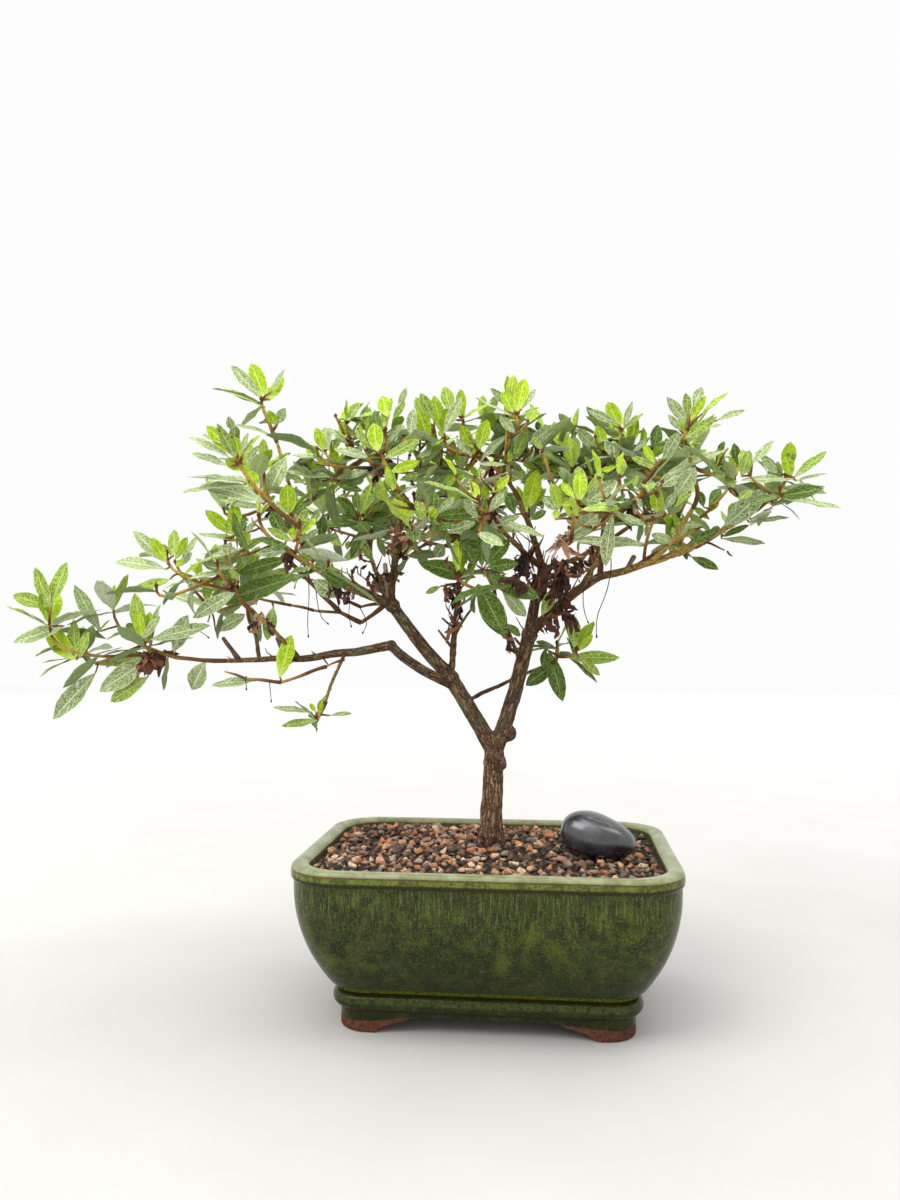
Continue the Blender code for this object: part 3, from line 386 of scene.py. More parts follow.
def glazeRecipe():
    spot = inMillimetres(potMiddle)
    across, along, up = [axisOf(spot, axis) for axis in "XYZ"]
    clouds = grainy(spot, 0.034, 2.0)
    patches = grainy(spot, 0.11, 3.0, 0.6)
    specks = grainy(spot, 1.5, 2.0, 0.7)
    flecks = grainy(spot, 0.62, 2.0, 0.6)
    grit = grainy(spot, 0.26, 3.0, 0.6)
    runs = grainy(stretched(spot, (1.1, 1.1, 0.09)), 1.0, 3.0, 0.65)
    teal = rise(grainy(stretched(spot, (1.0, 1.0, 0.8)), 0.075, 2.0), 0.62, 0.72)
    upper = rise(up, 46.0, 76.0)
    bright = rise(clouds + patches * 0.7 + specks * 0.35, 1.02, 1.38) * (1.0 - upper * 0.55)
    # the rim has a fresher green on its upright face and a pale top; brown shows where the glaze is thin on edges
    face = blend(rise(flecks + patches, 0.85, 1.2), (0.05, 0.072, 0.01), (0.15, 0.185, 0.03))
    top = blend(rise(patches, 0.35, 0.65), (0.175, 0.2, 0.085), (0.28, 0.3, 0.165))
    thin = band(up, 80.5, 1.4) * 0.85 + band(up, 20.3, 1.5) * 0.75 + band(up, 11.6, 1.6) * 0.8
    ledge = band(up, 22.4, 1.7) * rise(specks + flecks, 0.75, 1.05)
    foot = band(up, 17.4, 2.6) * rise(specks + flecks, 0.84, 1.1)
    edge = band(up + (flecks - 0.5) * 0.5, 84.4, 0.7) * rise(patches, 0.22, 0.42)
    # bare clay on the feet, higher up towards the corners
    reach = (84.0 - across.maths("ABSOLUTE")).maths("MAXIMUM", 58.0 - along.maths("ABSOLUTE"))
    bare = rise(up - reach * 0.085 - patches * 1.8, 3.4, 2.9) * rise(up, 9.2, 8.2)
    # painted shade: the bare clay is darkened, as the feet stand in the shade under the pot
    clay = blend(rise(grainy(spot, 0.5, 4.0, 0.7), 0.35, 0.65), (0.075, 0.026, 0.016), (0.15, 0.06, 0.038))
    colour = painted(
        blend(rise(patches, 0.36, 0.66), (0.013, 0.018, 0.003), (0.037, 0.048, 0.008)),
        (bright * 0.66, (0.112, 0.14, 0.01)),
        (teal * 0.45, (0.022, 0.085, 0.042)),
        (rise(runs, 0.52, 0.62) * (0.18 + upper * 0.62), (0.105, 0.135, 0.026)),
        (rise(runs, 0.48, 0.36) * (0.15 + upper * 0.6), (0.026, 0.02, 0.006)),
        (rise(specks, 0.54, 0.66) * 0.42, (0.17, 0.2, 0.04)),
        (rise(specks, 0.46, 0.34) * 0.6, (0.006, 0.008, 0.002)),
        (rise(flecks, 0.43, 0.3) * 0.5, (0.008, 0.012, 0.003)),
        # painted shade: the glaze grows darker towards the bottom of the body, where it faces down to the table
        (rise(up, 48.0, 20.0) * 0.56, (0.01, 0.014, 0.003)),
        (rise(grit, 0.52, 0.66) * 0.2, (0.085, 0.11, 0.012)),
        (rise(grit, 0.46, 0.34) * 0.24, (0.01, 0.015, 0.004)),
        # more painted shade, darker low on the body
        (rise(up, 60.0, 20.0) * 0.16, (0.004, 0.006, 0.001)),
        (rise(up, 80.8, 81.6) * 0.85, face),
        (thin * rise(patches, 0.22, 0.5), (0.022, 0.012, 0.005)),
        (ledge * 0.6, (0.14, 0.17, 0.012)),
        (foot * 0.4, (0.09, 0.11, 0.014)),
        (rise(up + patches * 0.5, 84.5, 85.2), top),
        (edge * 0.75, (0.085, 0.04, 0.018)),
        (bare, clay))
    height = grainy(spot, 0.35, 3.0, 0.5) + specks * 0.06
    return {"Base Color": colour, "Roughness": 0.2 + flecks * 0.15 + bare * 0.55,
            "Coat Weight": 0.3 - bare * 0.3, "Coat Roughness": 0.07, "Specular IOR Level": 0.05,
            "Normal": bumped(height, 0.35 * mm, 0.55)}


glaze = makeMaterial("mossGlaze", glazeRecipe, (0.08, 0.1, 0.03))
dress(makePot(), [glaze], ["pot"])
print("pot made")


# gravel

gravel = {
    "edge": 83.2, "top": 87.4, "curve": 2.2, "inset": 9.4, "rings": 30, "roll": 0.4, "sunk": 1.15,
    "stem": (0.0, 4.0), "wall": 3.0, "patch": 12.0,
    "pitch": 9.5, "shake": 0.2, "rise": (0.2, 1.3), "dip": (0.3, 1.2), "seed": 7,
    "under": ((30.0, 24.0), (16.0, 44.0), (10.2, 62.0)), "lumps": 0.11,
    "shapes": 11, "corners": 11, "across": (0.7, 0.95), "high": (0.5, 0.8), "shapeSeed": 5,
    "large": (3.4, 4.4), "buried": 0.78, "small": (2.4, 4.5), "spacing": 4.3, "density": 8e5, "smallSeed": 12,
    "lowest": 1.5, "steepest": 0.5,
}


def groundHeight(x, y):
    # mm, highest at the stem and lowest at the wall
    across = x / (pot["width"] / 2 - gravel["inset"])
    along = y / (pot["depth"] / 2 - gravel["inset"])
    share = min(1.0, max(abs(across), abs(along)) ** gravel["curve"])
    return gravel["top"] + (gravel["edge"] - gravel["top"]) * share


def onOpenGround(x, y):
    radius = pot["corner"] - pot["cornerPerInset"] * gravel["inset"]
    overX = abs(x) - (pot["width"] / 2 - gravel["inset"] - radius)
    overY = abs(y) - (pot["depth"] / 2 - gravel["inset"] - radius)
    fromWall = radius - hypot(max(overX, 0.0), max(overY, 0.0)) - min(max(overX, overY), 0.0)
    fromStem = hypot(x - gravel["stem"][0], y - gravel["stem"][1])
    return fromWall > gravel["wall"] and fromStem > gravel["patch"]


def grainSites():
    # tops of the larger grains, where the solid bed has them too
    rng = random.Random(gravel["seed"])
    rows = int(pot["depth"] / 2 / gravel["pitch"])
    columns = int(pot["width"] / 2 / gravel["pitch"])
    sites = []
    for row in range(-rows, rows + 1):
        for column in range(-columns, columns + 1):
            shake = [rng.uniform(-gravel["shake"], gravel["shake"]) for _ in range(4)]
            rng.uniform(*gravel["dip"])  # the solids draw the hollows here
            rise = rng.uniform(*gravel["rise"])
            x = (column + 0.5 + shake[2]) * gravel["pitch"]
            y = (row + 0.5 + shake[3]) * gravel["pitch"]
            if onOpenGround(x, y):
                sites.append(Vector((x, y, groundHeight(x, y) + rise)))
    return sites


gravelNode = bpy.data.objects["gravel"]
gravelTree = BVHTree.FromPolygons([gravelNode.matrix_world @ vert.co for vert in gravelNode.data.vertices],
                                  [tuple(face.vertices) for face in gravelNode.data.polygons])


def bedHeight(x, y):
    # the top of the solid bed at a place, in mm; beside it, what the rule says
    hit = gravelTree.ray_cast(Vector((x, y, 200.0)) * mm + potMiddle, Vector((0, 0, -1)))
    return hit[0].z / mm if hit[0] is not None else groundHeight(x, y)


def makeBed():
    rings = [roundedRing(inset, height) for inset, height in gravel["under"]]
    edge = roundedRing(gravel["inset"] - 0.2, 0.0)
    middle = Vector((gravel["stem"][0], gravel["stem"][1], 0.0))
    for step in range(gravel["rings"]):
        ring = []
        for point in edge:
            spot = point.lerp(middle, step / gravel["rings"])
            roll = noise.noise(Vector((spot.x, spot.y, 3.0)) * gravel["lumps"]) * gravel["roll"]
            height = bedHeight(spot.x * 0.998, spot.y * 0.998)  # read just inside the edge
            ring.append(Vector((spot.x, spot.y, height - gravel["sunk"] + roll)))
        rings.append(ring)
    verts, faces = skinRings(rings)
    bed = meshPiece("gravelFloor", [vert * mm + potMiddle for vert in verts], faces)
    facesOut(bed)
    smoothOver(bed)
    return bed


def grainShapes():
    # angular crushed pieces, each the hull of a few points
    rng = random.Random(gravel["shapeSeed"])
    group = bpy.data.collections.new("grainShapes")
    for index in range(gravel["shapes"]):
        kit = bmesh.new()
        for _ in range(gravel["corners"]):
            way = Vector([rng.gauss(0, 1) for _ in range(3)]).normalized()
            kit.verts.new(Vector((way.x, way.y * rng.uniform(*gravel["across"]), way.z * rng.uniform(*gravel["high"]))))
        hull = bmesh.ops.convex_hull(kit, input=kit.verts)
        inner = {part for part in hull["geom_interior"] + hull["geom_unused"] if isinstance(part, bmesh.types.BMVert)}
        bmesh.ops.delete(kit, geom=sorted(inner, key=lambda vert: vert.index), context="VERTS")
        mesh = bpy.data.meshes.new("grain")
        kit.to_mesh(mesh)
        kit.free()
        group.objects.link(bpy.data.objects.new("grain%d" % index, mesh))
    return group


def grainTree(material, scattered):
    # grains on points: on the corners of the mesh, or scattered over its faces
    tree = bpy.data.node_groups.new("scatterGrains" if scattered else "setGrains", "GeometryNodeTree")
    for name, kind in (("Geometry", "Geometry"), ("Spacing", "Float"), ("Density", "Float"), ("Smallest", "Float"),
                       ("Largest", "Float"), ("Seed", "Int"), ("Shapes", "Collection")):
        tree.interface.new_socket(name, in_out="INPUT", socket_type="NodeSocket" + kind)
    tree.interface.new_socket("Geometry", in_out="OUTPUT", socket_type="NodeSocketGeometry")
    Wire.tree = tree
    given = tree.nodes.new("NodeGroupInput")
    wires = {socket.name: Wire(socket) for socket in given.outputs if socket.name}
    points = wires["Geometry"]
    if scattered:
        points = Wire.node("GeometryNodeDistributePointsOnFaces", {"distribute_method": "POISSON"},
                           {"Mesh": points, "Distance Min": wires["Spacing"],
                            "Density Max": wires["Density"], "Seed": wires["Seed"]})
    shapes = Wire.node("GeometryNodeCollectionInfo", None,
                       {"Collection": wires["Shapes"], "Separate Children": True, "Reset Children": True})
    turn = Wire.node("FunctionNodeRandomValue", {"data_type": "FLOAT_VECTOR"},
                     {0: (0.0, 0.0, 0.0), 1: (6.283, 6.283, 6.283), "Seed": wires["Seed"]})
    size = Wire.node("FunctionNodeRandomValue", {"data_type": "FLOAT"},
                     {2: wires["Smallest"], 3: wires["Largest"], "Seed": wires["Seed"] + 1.0}, 1)
    placed = Wire.node("GeometryNodeInstanceOnPoints", None,
                       {"Points": points, "Instance": shapes, "Pick Instance": True, "Rotation": turn, "Scale": size})
    tone = Wire.node("FunctionNodeRandomValue", {"data_type": "FLOAT"},
                     {2: 0.0, 3: 1.0, "Seed": wires["Seed"] + 2.0}, 1)
    toned = Wire.node("GeometryNodeStoreNamedAttribute", {"data_type": "FLOAT", "domain": "INSTANCE"},
                      {"Geometry": placed, "Name": "grainTone", "Value": tone})
    real = Wire.node("GeometryNodeRealizeInstances", None, {"Geometry": toned})
    done = Wire.node("GeometryNodeSetMaterial", None, {"Geometry": real, "Material": material})
    leaving = tree.nodes.new("NodeGroupOutput")
    tree.links.new(done.socket, leaving.inputs[0])
    return tree


def runTree(item, tree, sizes):
    modifier = item.modifiers.new(tree.name, "NODES")
    modifier.node_group = tree
    keys = {socket.name: socket.identifier for socket in tree.interface.items_tree
            if socket.item_type == "SOCKET" and socket.in_out == "INPUT"}
    for name, value in sizes.items():
        modifier[keys[name]] = value
    settled(item)


def openTop(bed):
    # the faces of the bed that small grains may lie on
    kit = bmesh.new()
    kit.from_mesh(bed.data)
    spare = []
    for face in kit.faces:
        spot = (face.calc_center_median() - potMiddle) / mm
        low = spot.z < gravel["edge"] - gravel["sunk"] - gravel["lowest"]
        if face.normal.z < gravel["steepest"] or low or not onOpenGround(spot.x * 1.015, spot.y * 1.015):
            spare.append(face)
    bmesh.ops.delete(kit, geom=spare, context="FACES")
    mesh = bpy.data.meshes.new("smallGrains")
    kit.to_mesh(mesh)
    kit.free()
    return mesh


def makeGrains(bed, material):
    shapes = grainShapes()
    grains = []
    middleDepth = gravel["buried"] * sum(gravel["large"]) / 2
    sites = [(site - Vector((0, 0, middleDepth))) * mm + potMiddle for site in grainSites()]
    large = meshPiece("largeGrains", sites, [])
    small = linked("smallGrains", openTop(bed))
    for item, scattered in ((large, False), (small, True)):
        low, high = gravel["small" if scattered else "large"]
        runTree(item, grainTree(material, scattered), {
            "Spacing": gravel["spacing"] * mm, "Density": gravel["density"], "Smallest": low * mm,
            "Largest": high * mm, "Seed": gravel["smallSeed"], "Shapes": shapes})
        grains.append(item)
    for shape in list(shapes.objects):
        bpy.data.objects.remove(shape, do_unlink=True)
    bpy.data.collections.remove(shapes)
    return grains


def grainRecipe():
    spot = inMillimetres(potMiddle)
    pores = grainy(spot, 1.3, 4.0, 0.7)
    stone = ramp(
        attribute("grainTone"),
        (0.0, (0.028, 0.02, 0.016)), (0.12, (0.105, 0.074, 0.058)), (0.24, (0.26, 0.115, 0.056)),
        (0.36, (0.8, 0.3, 0.115)), (0.46, (0.3, 0.17, 0.105)), (0.57, (0.86, 0.47, 0.245)),
        (0.66, (0.23, 0.19, 0.15)), (0.78, (0.9, 0.66, 0.43)), (0.86, (0.64, 0.26, 0.12)),
        (0.93, (0.06, 0.042, 0.034)), (1.0, (0.17, 0.125, 0.095)))
    dust = rise(grainy(spot, 0.4, 2.0), 0.5, 0.72)
    across = axisOf(spot, "X").maths("ABSOLUTE") * (2.0 / (pot["width"] - 2 * gravel["inset"]))
    along = axisOf(spot, "Y").maths("ABSOLUTE") * (2.0 / (pot["depth"] - 2 * gravel["inset"]))
    share = across.maths("MAXIMUM", along) ** gravel["curve"]
    under = share * (gravel["edge"] - gravel["top"]) + gravel["top"] - axisOf(spot, "Z")
    colour = painted(
        blend(rise(pores, 0.28, 0.62), blend(0.7, stone, (0.02, 0.012, 0.008)), stone),
        (dust * 0.16, (0.68, 0.48, 0.32)),
        (rise(under, -0.8, 0.9) * 0.98, (0.01, 0.006, 0.004)))  # painted shade between the grains, darker the deeper under the bed's top
    return {"Base Color": colour, "Roughness": 0.75 + pores * 0.2, "Normal": bumped(pores, 0.35 * mm, 0.8)}


def soilRecipe():
    spot = inMillimetres(potMiddle)
    lumps = grainy(spot, 0.45, 5.0, 0.75)
    colour = blend(rise(lumps, 0.35, 0.68), (0.012, 0.008, 0.006), (0.07, 0.035, 0.022))
    return {"Base Color": colour, "Roughness": 0.9, "Normal": bumped(lumps, 1.2 * mm, 1.0)}


gravelMaterial = makeMaterial("crushedGravel", grainRecipe, (0.25, 0.14, 0.09))
soilMaterial = makeMaterial("dampSoil", soilRecipe, (0.06, 0.035, 0.022))
bedPiece = makeBed()
grainPieces = makeGrains(bedPiece, gravelMaterial)
dress(bedPiece, [soilMaterial], ["gravel"])
for grainPiece in grainPieces:
    dress(grainPiece, [gravelMaterial])
print("gravel made")


# pebble

pebble = {"size": (41.5, 28.0, 25.0), "turn": -24.0, "tilt": 8.0, "blunt": 0.48, "squarer": 0.86, "flat": 0.36,
          "soft": 0.06, "rings": 44, "sides": 72, "lump": 0.45}


def boxed(value):
    return copysign(abs(value) ** pebble["squarer"], value)


def makePebble():
    tilt = Matrix.Rotation(radians(pebble["tilt"]), 3, "Y")
    spin = Matrix.Rotation(radians(pebble["turn"]), 3, "Z") @ tilt
    flat, soft = pebble["flat"], pebble["soft"]
    rings = []
    for row in range(1, pebble["rings"]):
        lift = pi * row / pebble["rings"]
        ring = []
        for step in range(pebble["sides"]):
            turn = 2 * pi * step / pebble["sides"]
            x = 0.5 * boxed(sin(lift)) * boxed(cos(turn))
            y = 0.5 * boxed(sin(lift)) * boxed(sin(turn))
            blunt = 1.0 - pebble["blunt"] * (x + 0.1)
            z = -0.5 * boxed(cos(lift)) * blunt
            if z < -flat + soft:  # the flat underside, with a soft edge
                z = -flat + soft - soft * (1.0 - exp((z + flat - soft) / soft))
            spot = Vector((x * pebble["size"][0], y * blunt * pebble["size"][1], z * pebble["size"][2]))
            spot += spot.normalized() * (noise.noise(spot * 0.07) - 0.4) * pebble["lump"]
            ring.append(spin @ spot)
        rings.append(ring)
    verts, faces = skinRings(rings)
    low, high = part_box("pebble")
    middle = Vector([(a + b) / 2 for a, b in zip(low, high)])
    mine = Vector([(min(v[k] for v in verts) + max(v[k] for v in verts)) / 2 for k in range(3)])
    item = meshPiece("polishedPebble", [(vert - mine) * mm + middle for vert in verts], faces)
    facesOut(item)
    smoothOver(item, 40)
    return item


def pebbleRecipe():
    spot = inMillimetres(potMiddle)
    cloud = grainy(spot, 0.1, 4.0, 0.6)
    scratch = grainy(stretched(spot, (0.25, 2.6, 2.0)), 1.0, 2.0, 0.5)
    marks = rise(scratch, 0.66, 0.72)
    dust = rise(grainy(spot, 0.9, 3.0, 0.7), 0.62, 0.8)
    stone = blend(rise(cloud, 0.35, 0.7), (0.005, 0.005, 0.007), (0.034, 0.034, 0.044))
    colour = painted(stone, (marks * 0.22, (0.2, 0.2, 0.22)), (dust * 0.1, (0.22, 0.2, 0.19)))
    return {"Base Color": colour, "Roughness": 0.2 + cloud * 0.14 + marks * 0.15, "Specular IOR Level": 0.85,
            "Coat Weight": 0.4, "Coat Roughness": 0.12,
            "Normal": bumped(cloud + scratch * 0.06, 0.5 * mm, 0.35)}


pebbleMaterial = makeMaterial("polishedBlackStone", pebbleRecipe, (0.03, 0.03, 0.035))
dress(makePebble(), [pebbleMaterial], ["pebble"])
print("pebble made")


# limbs, laid out by the same rule as the solids

limbRule = {"bowPush": 1.33, "firstStep": 0.12, "swell": 1.22, "spare": 0.5, "tightest": 16.0, "clear": 0.3,
            "look": 0.05, "rings": 4, "foot": (0.0, 4.0, 87.6)}

limbs = {  # parent, place along it, tip in mm, bow up, bow back, thickness at both ends
    "trunk": (None, 0, (2, 4, 138), 0, 0, (12.6, 11.4)),
    "left_limb": ("trunk", 1, (-23, 3, 180), 0.5, 1, (9.4, 8.6)),
    "right_limb": ("trunk", 1, (22, 7, 206), -3.5, 1.5, (9.2, 8)),
    "upper_left_limb": ("left_limb", 1, (-58, 3, 223), -1, 2, (8, 6.6)),
    "lower_left_limb": ("left_limb", 0.84, (-55, -13, 199), -1.5, -1, (5.8, 5.4)),
    "left_bough": ("lower_left_limb", 1, (-151, -9, 190), -2, 3, (5.4, 2.8)),
    "left_side_bough": ("left_bough", 0.55, (-133, -16, 217), 2, -1, (2.8, 2.1)),
    "left_back_bough": ("left_bough", 0.8, (-146, 17, 212), 2, 1, (2.5, 2)),
    "hanging_twig": ("left_bough", 0.25, (-91, -18, 168), 1, -1, (2, 1.6)),
    "low_right_twig": ("left_limb", 0.55, (35, 23, 188), 1, 9, (2.4, 1.7)),
    "upright_bough": ("left_limb", 1, (-19, 9, 232), 1, 1.5, (3.8, 2.8)),
    "upper_left_bough": ("upper_left_limb", 1, (-112, -8, 262), -4, -2, (4.6, 3)),
    "top_left_twig": ("upper_left_bough", 0.84, (-126, 3, 318), 1.5, 1, (2.3, 1.8)),
    "left_front_bough": ("upper_left_limb", 1, (-90, -46, 240), -2, -2, (3.6, 2.6)),
    "left_back_limb": ("upper_left_limb", 1, (-78, 50, 252), -2, 3, (3.8, 2.7)),
    "middle_left_bough": ("upper_left_limb", 1, (-50, -8, 276), 3, -2, (4.4, 3)),
    "right_bough": ("right_limb", 1, (62, 1, 238), 1.5, -1, (6, 4.8)),
    "right_outer_bough": ("right_bough", 1, (146, 2, 273), -4.5, -2, (4.6, 2.4)),
    "right_upper_bough": ("right_outer_bough", 0.3, (112, -10, 274), -2, -2, (3, 2.3)),
    "right_low_bough": ("right_outer_bough", 0.42, (118, 26, 256), -1, 2, (2.7, 2.1)),
    "right_rise_bough": ("right_bough", 1, (66, 6, 282), 2, 1, (3.4, 2.5)),
    "right_front_bough": ("right_bough", 0.62, (66, -40, 262), -2, -3, (3.2, 2.4)),
    "low_front_twig": ("right_limb", 0.72, (6, -24, 217), 1.5, -3, (2.4, 1.9)),
    "flower_twig": ("right_bough", 0.3, (40, -15, 240), 2, -2, (2.6, 2.2)),
    "middle_limb": ("right_limb", 1, (30, 9, 243), 2, 0.5, (6.4, 5.4)),
    "middle_bough": ("middle_limb", 1, (17, -2, 281), 1.5, -1, (3.8, 2.8)),
    "front_bough": ("middle_limb", 1, (8, -38, 262), -1, -3, (3.4, 2.4)),
    "back_bough": ("middle_limb", 1, (6, 46, 268), -1, 3, (3.6, 2.6)),
    "right_back_bough": ("middle_limb", 1, (72, 46, 264), -2, 3, (3.6, 2.6)),
}
thickLimbs = ("trunk", "left_limb", "right_limb", "upper_left_limb", "lower_left_limb", "left_bough", "middle_limb",
              "right_bough", "right_outer_bough", "upper_left_bough")


def bowed(start, end, bow, back):
    third = (end - start) / 3.0
    push = Vector((0.0, back, bow)) * limbRule["bowPush"]
    return [start, start + third + push, start + third * 2 + push, end]


def firstHeading(joint, limb):
    controls = bowed(joint, Vector(limb[2]), limb[3], limb[4])
    return (pointOn(controls, limbRule["firstStep"]) - joint).normalized()


def clearReach(heading, width, neighbours):
    # how far from a joint a limb starts in the solids, clear of the others there
    reach = 0.0
    for way, other in neighbours:
        angle = min(max(heading.angle(way), radians(limbRule["tightest"])), pi / 2)
        needed = other / 2 * limbRule["swell"] + limbRule["spare"] + width / 2 * cos(angle)
        reach = max(reach, needed / sin(angle))
    return reach


def layOutLimbs():
    paths = {}
    for name, limb in limbs.items():
        parentName, place, tip, bow, back, thick = limb
        joint = Vector(limbRule["foot"])
        start = joint
        if parentName is not None:
            parent = paths[parentName]
            joint = pointOn(parent["controls"], place)
            heading = firstHeading(joint, limb)
            atJoint = parent["thick"][0] + (parent["thick"][1] - parent["thick"][0]) * place
            ahead = pointOn(parent["controls"], min(place + limbRule["look"], 1.0))
            onward = ahead - pointOn(parent["controls"], place - limbRule["look"])
            neighbours = [(onward, atJoint)] if place < 1.0 else [(-onward, atJoint)]
            for key, other in limbs.items():
                if key != name and other[0] == parentName and other[1] == place:
                    neighbours.append((firstHeading(joint, other), other[5][0]))
            start = joint + heading * (clearReach(heading, thick[0], neighbours) + limbRule["clear"])
        paths[name] = {"joint": joint, "controls": bowed(start, Vector(tip), bow, back), "thick": thick}
    return paths


limbPaths = layOutLimbs()


def framedLine(points):
    # each point of a line with a side, an upright and a heading, without twist, and how far along it lies
    frames = []
    gone = 0.0
    heading = (points[1] - points[0]).normalized()
    guide = Vector((0, 1, 0)) if abs(heading.y) < 0.9 else Vector((1, 0, 0))
    side = heading.cross(guide).normalized()
    for index, point in enumerate(points):
        before = points[max(index - 1, 0)]
        after = points[min(index + 1, len(points) - 1)]
        gone += (point - before).length
        heading = (after - before).normalized()
        side = (side - heading * side.dot(heading)).normalized()
        frames.append((point, side, heading.cross(side), heading, gone))
    return frames


goldenLimbs = {  # how golden the thin bark is at the foot and the tip of a limb
    "right_outer_bough": (0.35, 1), "right_upper_bough": (0.7, 0.9), "right_low_bough": (0.5, 0.8),
    "right_rise_bough": (0.2, 0.6), "right_front_bough": (0.3, 0.6), "top_left_twig": (0.6, 0.95),
    "upper_left_bough": (0.25, 0.85), "left_side_bough": (0.3, 0.7), "left_back_bough": (0.2, 0.6),
    "left_bough": (0, 0.45), "hanging_twig": (0.3, 0.6), "middle_left_bough": (0.1, 0.5), "middle_bough": (0.1, 0.5),
    "left_front_bough": (0.2, 0.6), "right_back_bough": (0.2, 0.7), "back_bough": (0.1, 0.5), "front_bough": (0.1, 0.5),
    "left_back_limb": (0.1, 0.5), "low_front_twig": (0.2, 0.5), "low_right_twig": (0.2, 0.5),
}


class Heap:
    # gathers the corners, faces and marks of a piece that is joined from many
    def __init__(self):
        self.verts, self.faces, self.marks = [], [], []

    def add(self, verts, faces, marks=()):
        first = len(self.verts)
        self.verts += verts
        self.faces += [tuple(first + corner for corner in face) for face in faces]
        self.marks += marks

    def make(self, name, markName=None):
        item = meshPiece(name, [vert * mm + potMiddle for vert in self.verts], self.faces)
        if markName:
            item.data.attributes.new(markName, "FLOAT", "POINT").data.foreach_set("value", self.marks)
        return item


def tubeAlong(points, radii, sides, rough=0.0, seed=0.0):
    # a closed tube with a point at each end, in mm, and how far along each corner lies
    verts, travelled = [], []
    frames = framedLine(points)
    for index, (centre, side, other, _, gone) in enumerate(frames):
        for step in range(sides):
            turn = 2 * pi * step / sides
            way = side * cos(turn) + other * sin(turn)
            size = radii[index]
            if rough:
                size *= 1.0 + rough * noise.noise((centre + way * size) * 0.45 + Vector((seed, 0, 0)))
            verts.append(centre + way * size)
            travelled.append(gone)
    count = len(points)
    faces = ringFaces(count, sides)
    low, high = len(verts), len(verts) + 1
    verts += [points[0] - frames[0][3] * radii[0] * 0.5, points[-1] + frames[-1][3] * radii[-1] * 0.6]
    travelled += [0.0, gone]
    for step in range(sides):
        after = (step + 1) % sides
        faces.append((low, after, step))
        faces.append((high, (count - 1) * sides + step, (count - 1) * sides + after))
    return verts, faces, travelled


# bark

bark = {"voxel": 0.52, "step": 2.2, "wobble": 0.75, "sides": 16, "boughSides": 10, "flare": 1.3, "flareCurve": 5,
        "fissure": 0.42, "fissureScale": 0.85, "fissureWidth": 0.13, "lump": 0.3, "lumpScale": (0.25, 0.9),
        "fullRelief": 5.0, "stretch": 0.22, "apart": 61.0, "soften": (0.5, 4), "sunkFoot": 1.6, "joinSwell": 1.04,
        "rough": 0.22, "kinkScale": 0.06, "kink": 1.6,
        "knots": ((2.0, 4.0, 132.0, 6.9), (6.3, 2.0, 131.0, 3.2), (9.5, 3.5, 149.0, 5.4), (1.0, -1.5, 136.5, 4.3),
                  (-23.0, 2.5, 180.0, 5.3), (-57.0, 3.0, 222.0, 4.6), (22.0, 7.0, 205.0, 5.0),
                  (-55.0, -13.0, 199.0, 3.2), (30.0, 9.0, 243.0, 3.6)),
        "roots": ((8.5, -3.5), (-7.5, -4.5), (7.0, 11.5), (-7.5, 10.5), (0.5, -6.0)),
        "rootLine": ((0.12, 9.0, 3.2), (0.55, 3.4, 3.0), (1.0, -1.2, 1.6))}  # share out, height and radius

snags = {  # limb, place, way in mm, thickness at both ends, weathered pale or not
    "greyStub": ("upper_left_limb", 0.985, (-3, -2.5, 23), (3.6, 2.6), 1),
    "darkStub": ("upper_left_limb", 0.96, (-10, -4, 14), (2.6, 1.6), 0.2),
    "lowSpur": ("upper_left_limb", 0.86, (-4, -3, 10), (2, 1.2), 0.9),
    "uprightSpur": ("upright_bough", 0.3, (-8.5, -1, 11), (1.9, 1), 0.1),
    "uprightStub": ("upright_bough", 0.52, (-7, -1.5, 6), (1.6, 1.1), 0.1),
    "uprightArm": ("upright_bough", 0.44, (11, -1, 17), (2, 1.3), 0.1),
    "boughStub": ("left_bough", 0.93, (-9, -2, 13), (3.4, 2.2), 0.1),
    "boughBud": ("left_bough", 0.66, (-3, -2, 12), (2.6, 3.2), 0.4),
    "rightStub": ("right_bough", 0.55, (10, -2, 6.5), (2.2, 1.8), 0.1),
    "rightBud": ("right_outer_bough", 0.14, (5, -1, 8), (2.4, 2.8), 0.3),
    "crotchSpur": ("right_limb", 0.06, (-3, -3.5, 5.5), (1.5, 0.9), 0.8),
    "rightKnob": ("right_limb", 0.13, (4.2, -1, 0.6), (4.6, 3.4), 0.3),
    "underSpur": ("left_bough", 0.42, (4, -2, -5), (1.2, 0.8), 0.1),
    "frontSpur": ("right_limb", 0.86, (-6, -4, 8), (2, 1.2), 0.1),
    "backSpur": ("middle_limb", 0.55, (-5, 8, 7), (2.4, 1.6), 0.2),
}


def wobbled(point, share, index):
    # small kinks on the way, none at either end
    size = bark["wobble"] * sin(pi * share) ** 0.7 if 0.0 < share < 1.0 else 0.0
    spot = point * bark["kinkScale"] + Vector((index * 7.3, 0.0, 0.0))
    kinks = [noise.noise(spot + Vector(apart)) for apart in ((0, 0, 0), (0, 9, 0), (0, 0, 9))]
    return point + Vector(kinks) * size * bark["kink"]


